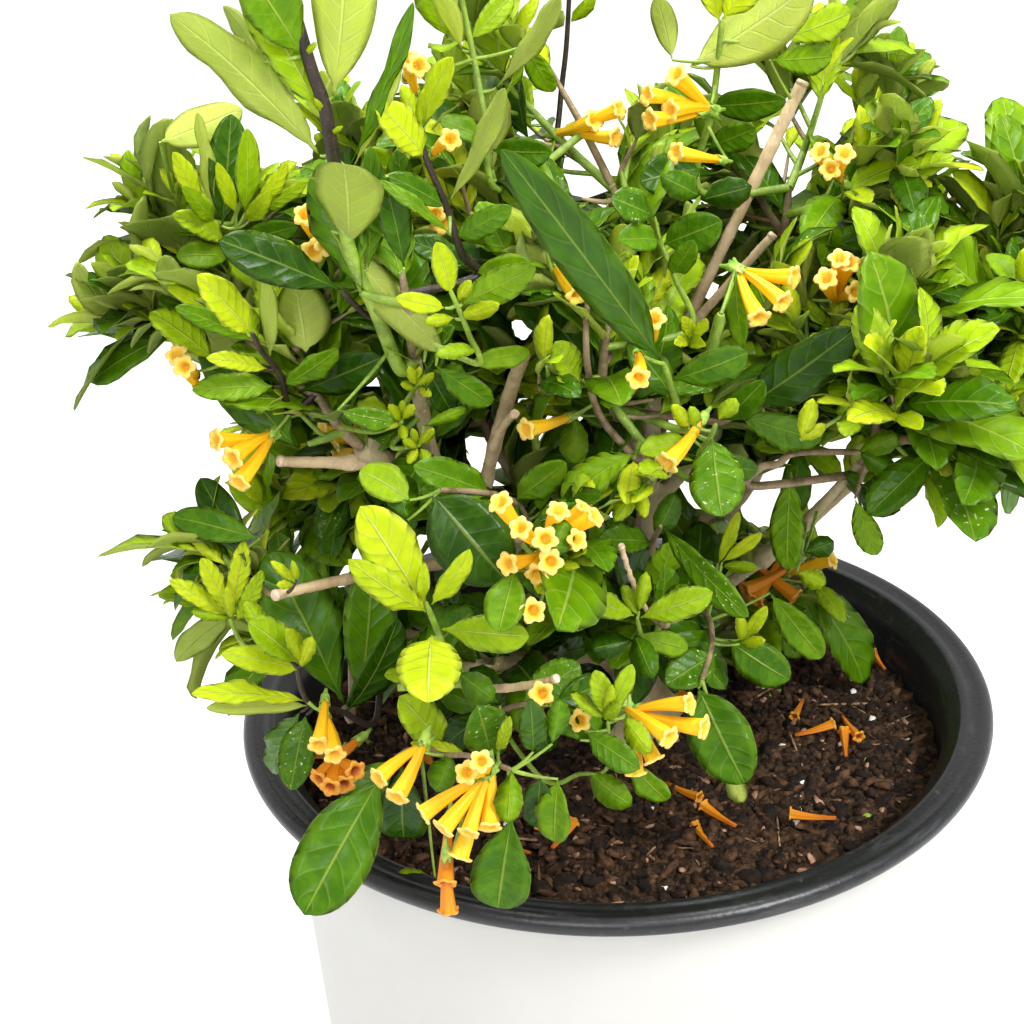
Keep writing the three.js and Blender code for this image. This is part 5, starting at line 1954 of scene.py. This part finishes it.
def fallen_flowers():
    fallen = []
    for right, down, turn in FALLEN:
        line = behind_pixel((right, down, 0.0)) - EYE
        place = EYE + line * (SOIL_TOP + FALLEN_LIFT - EYE[2]) / line[2]
        fallen.append(fallen_flower(place, turn, FALLEN_SIZE))
    random = stream(STREWN_SEED)
    for _ in range(STREWN):
        radius, turn = STREWN_RADIUS * math.sqrt(random()), WHOLE_TURN * random()
        place = vector((radius * math.cos(turn), radius * math.sin(turn), SOIL_TOP + STREWN_LIFT))
        lie = WHOLE_TURN * random()
        fallen.append(fallen_flower(place, lie, within(random, STREWN_SIZE)))
    return fallen


petal = flower_finish("petal", "#fdba1a", "#ffcc1c", "#ffd82e", "#fff0a0", "#ffd24a")
faded_petal = flower_finish("faded_petal", "#d8781a", "#ec931c", "#f0a024", "#f4bc54", "#a85a14")
calyx = calyx_finish()
petal_shape = turned_shape("petal_shape", flower_rings(), FLOWER_SIDES, petal)
calyx_shape = turned_shape("calyx_shape", calyx_rings(), FLOWER_SIDES, calyx)
tree = flower_tree()
bright = [f for f in flowers if not f.faded]
faded = [f for f in flowers if f.faded]
settle(blossom_piece("blossom", bright, petal_shape, petal, tree), mass_names)
settle(blossom_piece("blossom_faded", faded + fallen_flowers(), petal_shape, faded_petal, tree))
settle(blossom_piece("calyxes", bright + faded, calyx_shape, calyx, tree))
for shape in (petal_shape, calyx_shape):
    bpy.data.objects.remove(shape)


# Pot
ROUND_STEPS = 180
ON_AXIS = 0.01  # the radius at which a profile starts and ends
# The rim's section, in from its outside: a rolled edge, a dip, a low ridge and the inner side
ROLL_REACH = (3.3, 3.1)
ROLL_RISE = 2.9
ROLL_TURNS = (-90, 105, 14)
DIP_OUT = 1.8
DIP_DEPTH = 1.0
RIDGE_REACH = (1.9, 1.2)
RIDGE_IN = 0.6
RIDGE_DEPTH = 1.7
RIDGE_TURNS = (50, 160, 6)
INNER_LIP_DEPTH = 4.6
INNER_LIP_END = 1.0
FOOT_TURNS = (-70, -5, 5)
FOOT_STEP = 0.5
WALL_STEPS = 8
# The white outside
SLEEVE_EDGE = 0.6
SLEEVE_ROUNDING = 0.5
SLEEVE_STEPS = 12
SLEEVE_TURNS = (0, 180, 7)
# Painted shade along the top edge of the white outside, below the rim
RIM_SHADE_TOP = 0.8
RIM_SHADE_BOTTOM = 2.6


def wall_radius(height):
    return FOOT_RADIUS + (WALL_TOP_RADIUS - FOOT_RADIUS) * height / LIP_BOTTOM


def turned_piece(name, profile, finish, closed=False):
    """A profile of radius and height turned about the pot's axis. A closed one has no ends on the axis."""
    turns = np.arange(ROUND_STEPS) * WHOLE_TURN / ROUND_STEPS
    round_once = np.column_stack([np.cos(turns), np.sin(turns), np.zeros(ROUND_STEPS)])
    rings = [radius * round_once + height * UP for radius, height in profile]
    faces = tube_faces(0, len(rings), ROUND_STEPS)
    if closed:
        faces = faces[:-2]
        last = (len(rings) - 1) * ROUND_STEPS
        for k in range(ROUND_STEPS):
            after = (k + 1) % ROUND_STEPS
            faces.append([last + k, last + after, after, k])
    return new_object(name, new_mesh(name, np.concatenate(rings) * MM, faces), [finish])


def arc(middle, reach, start, end, steps):
    """Points on an oval arc, from one angle to another in degrees"""
    turns = np.radians(np.linspace(start, end, steps))
    return [(middle[0] + reach[0] * math.cos(t), middle[1] + reach[1] * math.sin(t)) for t in turns]


def ramp_profile(low, high, steps):
    """Points in a straight line from one to another, leaving out the last"""
    return [tuple(mix(vector((low, high)), i / steps)) for i in range(steps)]


def black_plastic():
    look = Finish("black_plastic", Specular_IOR_Level=0.5)
    place = look.place()
    haze = look.noise(look.stretched(place, (1.0, 1.0, 5.0)), 9.0, 5.0, 0.6)
    scuffs = look.noise(look.stretched(place, (1.0, 1.0, 14.0)), 40.0, 4.0, 0.7).step(0.56, 0.72)
    dust = look.noise(place, 260.0, 5.0, 0.7).step(0.55, 0.8)
    tint = look.blend(scuffs * 0.3, paint("#121316"), paint("#56575a"))
    look.colour(look.blend(dust * 0.18, tint, paint("#8b8780")))
    look.roughness(0.22 + haze * 0.25 + dust * 0.2)
    look.relief(look.noise(place, 700.0, 3.0) + haze * 2.0, 0.0003, 0.35)
    return look.material


def white_plastic():
    look = Finish("white_plastic", Specular_IOR_Level=0.45)
    place = look.place()
    haze = look.noise(place, 14.0, 4.0, 0.6)
    scuffs = look.noise(look.stretched(place, (1.0, 1.0, 6.0)), 70.0, 5.0, 0.7).step(0.62, 0.75)
    height = look.node("ShaderNodeSeparateXYZ", None, {0: place}).other("Z")
    # Painted shade: a brownish band just under the rim, where the lip shades the white outside
    rim_shade = height.step((LIP_BOTTOM - RIM_SHADE_BOTTOM) * MM, (LIP_BOTTOM - RIM_SHADE_TOP) * MM)
    tint = look.blend(haze.step(0.3, 0.7), paint("#bfbeb9"), paint("#c5c4bf"))
    tint = look.blend(scuffs * 0.1, tint, paint("#a8a7a1"))
    look.colour(look.blend(rim_shade * 0.75, tint, paint("#a89a88")))
    look.roughness(0.34 + haze * 0.2)
    look.relief(look.noise(place, 500.0, 3.0) + haze, 0.0003, 0.2)
    return look.material


def pot_piece(finish):
    flat = FOOT_RADIUS - FOOT_BEVEL
    bevel = arc((flat, FOOT_BEVEL), (FOOT_BEVEL, FOOT_BEVEL), *FOOT_TURNS)
    wall_foot = (wall_radius(FOOT_BEVEL), FOOT_BEVEL + FOOT_STEP)
    wall_top = (WALL_TOP_RADIUS, LIP_BOTTOM)
    roll = arc((RIM_RADIUS - ROLL_REACH[0], LIP_BOTTOM + ROLL_RISE), ROLL_REACH, *ROLL_TURNS)
    ridge_middle = (RIM_RADIUS - LIP_ROLL - RIDGE_IN, POT_HEIGHT - RIDGE_DEPTH)
    profile = [
        (ON_AXIS, 0.0),
        (flat, 0.0),
        *bevel,
        *ramp_profile(wall_foot, wall_top, WALL_STEPS),
        wall_top,
        *roll,
        (RIM_RADIUS - LIP_ROLL + DIP_OUT, POT_HEIGHT - DIP_DEPTH),
        *arc(ridge_middle, RIDGE_REACH, *RIDGE_TURNS),
        (WALL_TOP_RADIUS, POT_HEIGHT - INNER_LIP_DEPTH),
        (WALL_TOP_RADIUS - WALL, LIP_BOTTOM - INNER_LIP_END),
        (wall_radius(POT_FLOOR) - WALL, POT_FLOOR),
        (ON_AXIS, POT_FLOOR),
    ]
    made = turned_piece("pot_shell", profile, finish)
    cutter = drain_cutter()
    cut = made.modifiers.new("drains", "BOOLEAN")
    cut.object = cutter
    cut.solver = "EXACT"
    plain_copy(made)
    bpy.data.objects.remove(cutter)
    return made


def drain_cutter():
    """Boxes that cut the drain notches out of the foot's edge"""
    points, faces = [], []
    for i in range(DRAIN_HOLES):
        turn = Matrix.Rotation((i + 0.5) * WHOLE_TURN / DRAIN_HOLES, 3, "Z")
        start = len(points)
        for z in (-1, 1):
            for x, y in ((-1, -1), (1, -1), (1, 1), (-1, 1)):
                corner = vector((x, y, z)) * DRAIN_SIZE / 2 + ACROSS * FOOT_RADIUS
                points.append((turn @ Vector(corner)) * MM)
        faces.extend(tube_faces(start, 2, 4))
    return new_object("drain_cutter", new_mesh("drain_cutter", points, faces, False))


def sleeve_piece(finish):
    top = LIP_BOTTOM - SLEEVE_GAP
    foot_radius = wall_radius(SLEEVE_BOTTOM) + SLEEVE_GAP
    top_radius = wall_radius(top) + SLEEVE_GAP
    side_foot = (foot_radius + SLEEVE, SLEEVE_BOTTOM + SLEEVE_EDGE)
    side_top = (top_radius + SLEEVE, top - SLEEVE_EDGE)
    edge_middle = (top_radius + SLEEVE / 2, top - SLEEVE_ROUNDING)
    profile = [
        (foot_radius, SLEEVE_BOTTOM),
        (foot_radius + SLEEVE, SLEEVE_BOTTOM),
        *ramp_profile(side_foot, side_top, SLEEVE_STEPS),
        *arc(edge_middle, (SLEEVE / 2, SLEEVE_ROUNDING), *SLEEVE_TURNS),
    ]
    return turned_piece("pot_outside", profile, finish, closed=True)


settle(pot_piece(black_plastic()), ["pot"])
settle(sleeve_piece(white_plastic()), ["pot_sleeve"])


# Potting mix
SOIL_RINGS = 90
SOIL_SPOKES = 220
SOIL_DROP_CURVE = 1.5
SOIL_EDGE_GAP = 0.2
SOIL_FOOT_GAP = 0.6
# The relief of its top: its depth, and each pattern's scale and share of it. A pattern's layers are how
# fast they weaken, how much finer each one is, and how many there are.
SOIL_RELIEF = 4.2
COARSE_SCALE, COARSE_SHARE, COARSE_LAYERS = 0.05, 0.55, (1.0, 2.0, 3)
FINE_SCALE, FINE_SHARE, FINE_LAYERS = 0.35, 0.5, (0.8, 2.1, 4)
GRIT_SCALE, GRIT_SHARE = 0.9, 0.6
RELIEF_SINK = 0.2


def soil_height(x, y):
    radius = math.hypot(x, y)
    outwards = max(0.0, (radius - SOIL_FLAT_RADIUS) / (WALL_TOP_RADIUS - SOIL_FLAT_RADIUS))
    drop = SOIL_EDGE_DROP * outwards**SOIL_DROP_CURVE
    place = Vector((x, y, 0))
    coarse = noise.fractal(place * COARSE_SCALE, *COARSE_LAYERS)
    fine = noise.fractal(place * FINE_SCALE, *FINE_LAYERS)
    grit = abs(noise.noise(place * GRIT_SCALE))
    lift = COARSE_SHARE * coarse + FINE_SHARE * fine + GRIT_SHARE * grit - RELIEF_SINK
    return SOIL_TOP - drop + SOIL_RELIEF * lift


def soil_finish():
    look = Finish("potting_mix", Roughness=0.95, Specular_IOR_Level=0.2)
    place = look.place()
    lumps = look.noise(place, 140.0, 6.0, 0.7)
    fibre = look.cells(place, 420.0)
    grit = look.noise(place, 900.0, 3.0, 0.6)
    tint = look.blend(lumps.step(0.38, 0.66), paint("#140d08"), paint("#432f1e"))
    tint = look.blend(fibre.step(0.4, 0.8) * 0.45, tint, paint("#6a4e38"))
    tint = look.blend(grit.step(0.66, 0.78) * 0.6, tint, paint("#a98a72"))
    look.colour(tint)
    look.relief(lumps + grit * 0.5 + fibre * 0.4, 0.0025, 1.0)
    return look.material


def soil_edge():
    return wall_radius(SOIL_TOP - SOIL_EDGE_DROP) - WALL - SOIL_EDGE_GAP


def soil_surface(edge, rings, spokes):
    """The top of the mix out to an edge: its corners, ring by ring, and its faces"""
    points = [(0.0, 0.0, soil_height(0, 0))]
    for j in range(1, rings + 1):
        radius = edge * j / rings
        for k in range(spokes):
            turn = WHOLE_TURN * k / spokes
            x, y = radius * math.cos(turn), radius * math.sin(turn)
            points.append((x, y, soil_height(x, y)))
    faces = []
    for k in range(spokes):
        after = (k + 1) % spokes
        faces.append([0, 1 + k, 1 + after])
        for j in range(rings - 1):
            low, high = 1 + j * spokes, 1 + (j + 1) * spokes
            faces.append([low + k, high + k, high + after, low + after])
    return points, faces


def soil_piece(finish):
    edge = soil_edge()
    points, faces = soil_surface(edge, SOIL_RINGS, SOIL_SPOKES)
    bottom = POT_FLOOR + GAP
    shrink = (wall_radius(bottom) - WALL - SOIL_FOOT_GAP) / edge
    rim = 1 + (SOIL_RINGS - 1) * SOIL_SPOKES
    foot = len(points)
    points.extend([(x * shrink, y * shrink, bottom) for x, y, _ in points[rim:]])
    for k in range(SOIL_SPOKES):
        after = (k + 1) % SOIL_SPOKES
        faces.append([rim + k, foot + k, foot + after, rim + after])
    faces.append([foot + k for k in range(SOIL_SPOKES)][::-1])
    return new_object("potting_mix", new_mesh("potting_mix", np.array(points) * MM, faces), [finish])


LITTER_TURN = 6.3  # how far a piece may be turned, in radians: a little over a whole turn


def litter_tree():
    """Scatters a piece over a surface: so many to the square metre, turned any way, from small to large"""
    inputs = {
        "Piece": "NodeSocketObject",
        "Density": "NodeSocketFloat",
        "Smallest": "NodeSocketFloat",
        "Largest": "NodeSocketFloat",
        "Tilt": "NodeSocketFloat",
        "Seed": "NodeSocketInt",
        "Finish": "NodeSocketMaterial",
    }
    nodes, given = new_tree("litter", inputs)
    spread = {"Mesh": given["Geometry"], "Density": given["Density"], "Seed": given["Seed"]}
    points = nodes.node("GeometryNodeDistributePointsOnFaces", None, spread)
    shape = instance_of(nodes, given["Piece"])
    back = given["Tilt"] * -1.0
    least = nodes.node("ShaderNodeCombineXYZ", None, {0: back, 1: back, 2: 0.0})
    most = nodes.node("ShaderNodeCombineXYZ", None, {0: given["Tilt"], 1: given["Tilt"], 2: LITTER_TURN})
    turns = {0: least, 1: most, "Seed": given["Seed"]}
    turn = nodes.node("FunctionNodeRandomValue", {"data_type": "FLOAT_VECTOR"}, turns)
    rotation = nodes.node("FunctionNodeEulerToRotation", None, {0: turn})
    sizes = {2: given["Smallest"], 3: given["Largest"], "Seed": given["Seed"]}
    size = nodes.node("FunctionNodeRandomValue", {"data_type": "FLOAT"}, sizes, 1)
    placed = {"Points": points, "Instance": shape, "Rotation": rotation, "Scale": size}
    return end_tree(nodes, nodes.node("GeometryNodeInstanceOnPoints", None, placed), given["Finish"])


SHARD_ROUGHNESS = 0.3


def shard(name, size, seed):
    """A rough flake or grain: a ball of a few faces, squashed and broken"""
    made = bpy.data.meshes.new(name)
    shape = bmesh.new()
    bmesh.ops.create_icosphere(shape, subdivisions=1, radius=0.5)
    random = stream(seed)
    for corner in shape.verts:
        jitter = [1 + SHARD_ROUGHNESS * (random() - 0.5) * 2 for _ in range(3)]
        corner.co = Vector([corner.co[i] * size[i] * jitter[i] * MM for i in range(3)])
    shape.to_mesh(made)
    shape.free()
    return new_object(name, made)


def litter_finish(name, light, dark):
    look = Finish(name, Roughness=0.9, Specular_IOR_Level=0.25)
    place = look.place()
    patches = look.noise(place, 320.0, 5.0, 0.65)
    look.colour(look.blend(patches.step(0.35, 0.7), paint(dark), paint(light)))
    look.relief(look.noise(place, 1100.0, 3.0), 0.0005, 0.7)
    return look.material


LITTER_INSET = 5.0
LITTER_RINGS = 30
LITTER_SPOKES = 90
LITTER_SEED = 5
SHARD_SEED = 40
# Each sort: its name, its size, how many to the square metre, its smallest and largest scale, how far it
# tilts, and its colours
LITTER = [
    ("bark_chips", (8.5, 3.6, 2.0), 28000, 0.25, 1.4, 0.7, ("#654830", "#22150d")),
    ("dark_chips", (8.0, 4.4, 2.6), 20000, 0.3, 1.5, 0.8, ("#33231a", "#100a06")),
    ("pale_chips", (6.5, 2.4, 1.3), 13000, 0.2, 1.2, 0.7, ("#b8917a", "#704c36")),
    ("crumbs", (2.6, 2.0, 1.8), 80000, 0.4, 1.6, 1.0, ("#4a3623", "#160e08")),
    ("fibres", (18.0, 0.8, 0.7), 3600, 0.4, 1.4, 0.3, ("#a78a6a", "#5e4834")),
    ("perlite", (3.0, 2.6, 2.3), 1300, 0.5, 1.3, 1.0, ("#f2efe8", "#d8d3c8")),
    ("green_scraps", (8.0, 3.0, 0.5), 420, 0.6, 1.3, 0.4, ("#a9c54e", "#6a9430")),
]

soil = soil_piece(soil_finish())
tree = litter_tree()
top_points, top_faces = soil_surface(soil_edge() - LITTER_INSET, LITTER_RINGS, LITTER_SPOKES)
soil_top = new_mesh("soil_top", np.array(top_points) * MM, top_faces)
for number, (name, size, density, smallest, largest, tilt, tints) in enumerate(LITTER):
    piece = shard(f"{name}_shape", size, SHARD_SEED + number)
    made = new_object(name, soil_top.copy())
    values = {
        "Piece": piece,
        "Density": density,
        "Smallest": smallest,
        "Largest": largest,
        "Tilt": tilt,
        "Seed": LITTER_SEED + number,
        "Finish": litter_finish(f"{name}_finish", *tints),
    }
    run_tree(made, tree, values)
    settle(made)
    bpy.data.objects.remove(piece)
bpy.data.meshes.remove(soil_top)
settle(soil, ["soil"])


# Studio
FLOOR_HALF = 6.0
FLOOR_PALE_FROM = 0.5
FLOOR_WHITE_FROM = 1.6
SKY_LIGHT = 0.88
LIGHT_TARGET = Vector((0, 0, 0.3))
NEAREST_SEEN, FURTHEST_SEEN = 0.01, 50
# Each light: its name, place, width in metres and power in watts
LIGHTS = [
    ("key_light", (0.75, -0.7, 1.3), 0.45, 20.0),
    ("fill_light", (-0.25, -1.25, 1.1), 0.5, 7.0),
    ("top_light", (-0.1, 0.3, 1.5), 0.6, 25.0),
]


def floor_finish():
    look = Finish("studio_floor", Roughness=0.9, Specular_IOR_Level=0.0)
    place = look.place()
    reach = look.node("ShaderNodeVectorMath", {"operation": "LENGTH"}, {0: place}, 1)
    # Painted shade: greyer near the pot, where the lamps light the floor most, and white further out
    near_tint = look.blend(look.noise(place, 3.0), paint("#dadada"), paint("#dedede"))
    look.colour(look.blend(reach.step(FLOOR_PALE_FROM, FLOOR_WHITE_FROM), near_tint, paint("#ffffff")))
    return look.material


def studio():
    corners = [(-FLOOR_HALF, -FLOOR_HALF, 0), (FLOOR_HALF, -FLOOR_HALF, 0)]
    corners += [(FLOOR_HALF, FLOOR_HALF, 0), (-FLOOR_HALF, FLOOR_HALF, 0)]
    mesh = new_mesh("studio_floor", corners, [(0, 1, 2, 3)], False)
    floor = new_object("studio_floor", mesh, [floor_finish()])
    world = bpy.data.worlds.new("studio")
    world.use_nodes = True
    background = world.node_tree.nodes["Background"]
    background.inputs["Color"].default_value = (1, 1, 1, 1)
    background.inputs["Strength"].default_value = SKY_LIGHT
    bpy.context.scene.world = world
    for name, place, width, power in LIGHTS:
        light = bpy.data.lights.new(name, "AREA")
        light.size = width
        light.energy = power
        made = add_to_scene(name, light)
        made.location = place
        made.rotation_euler = (LIGHT_TARGET - Vector(place)).to_track_quat("-Z", "Y").to_euler()
    bpy.context.scene.view_settings.view_transform = "Standard"


def camera():
    data = bpy.data.cameras.new("camera")
    data.lens = LENS
    data.sensor_width = SENSOR
    data.clip_start, data.clip_end = NEAREST_SEEN, FURTHEST_SEEN
    made = add_to_scene("camera", data)
    axes = Matrix((RIGHT, ABOVE, -AHEAD)).transposed().to_4x4()
    made.matrix_world = Matrix.Translation(Vector(EYE) * MM) @ axes
    bpy.context.scene.camera = made


studio()
camera()
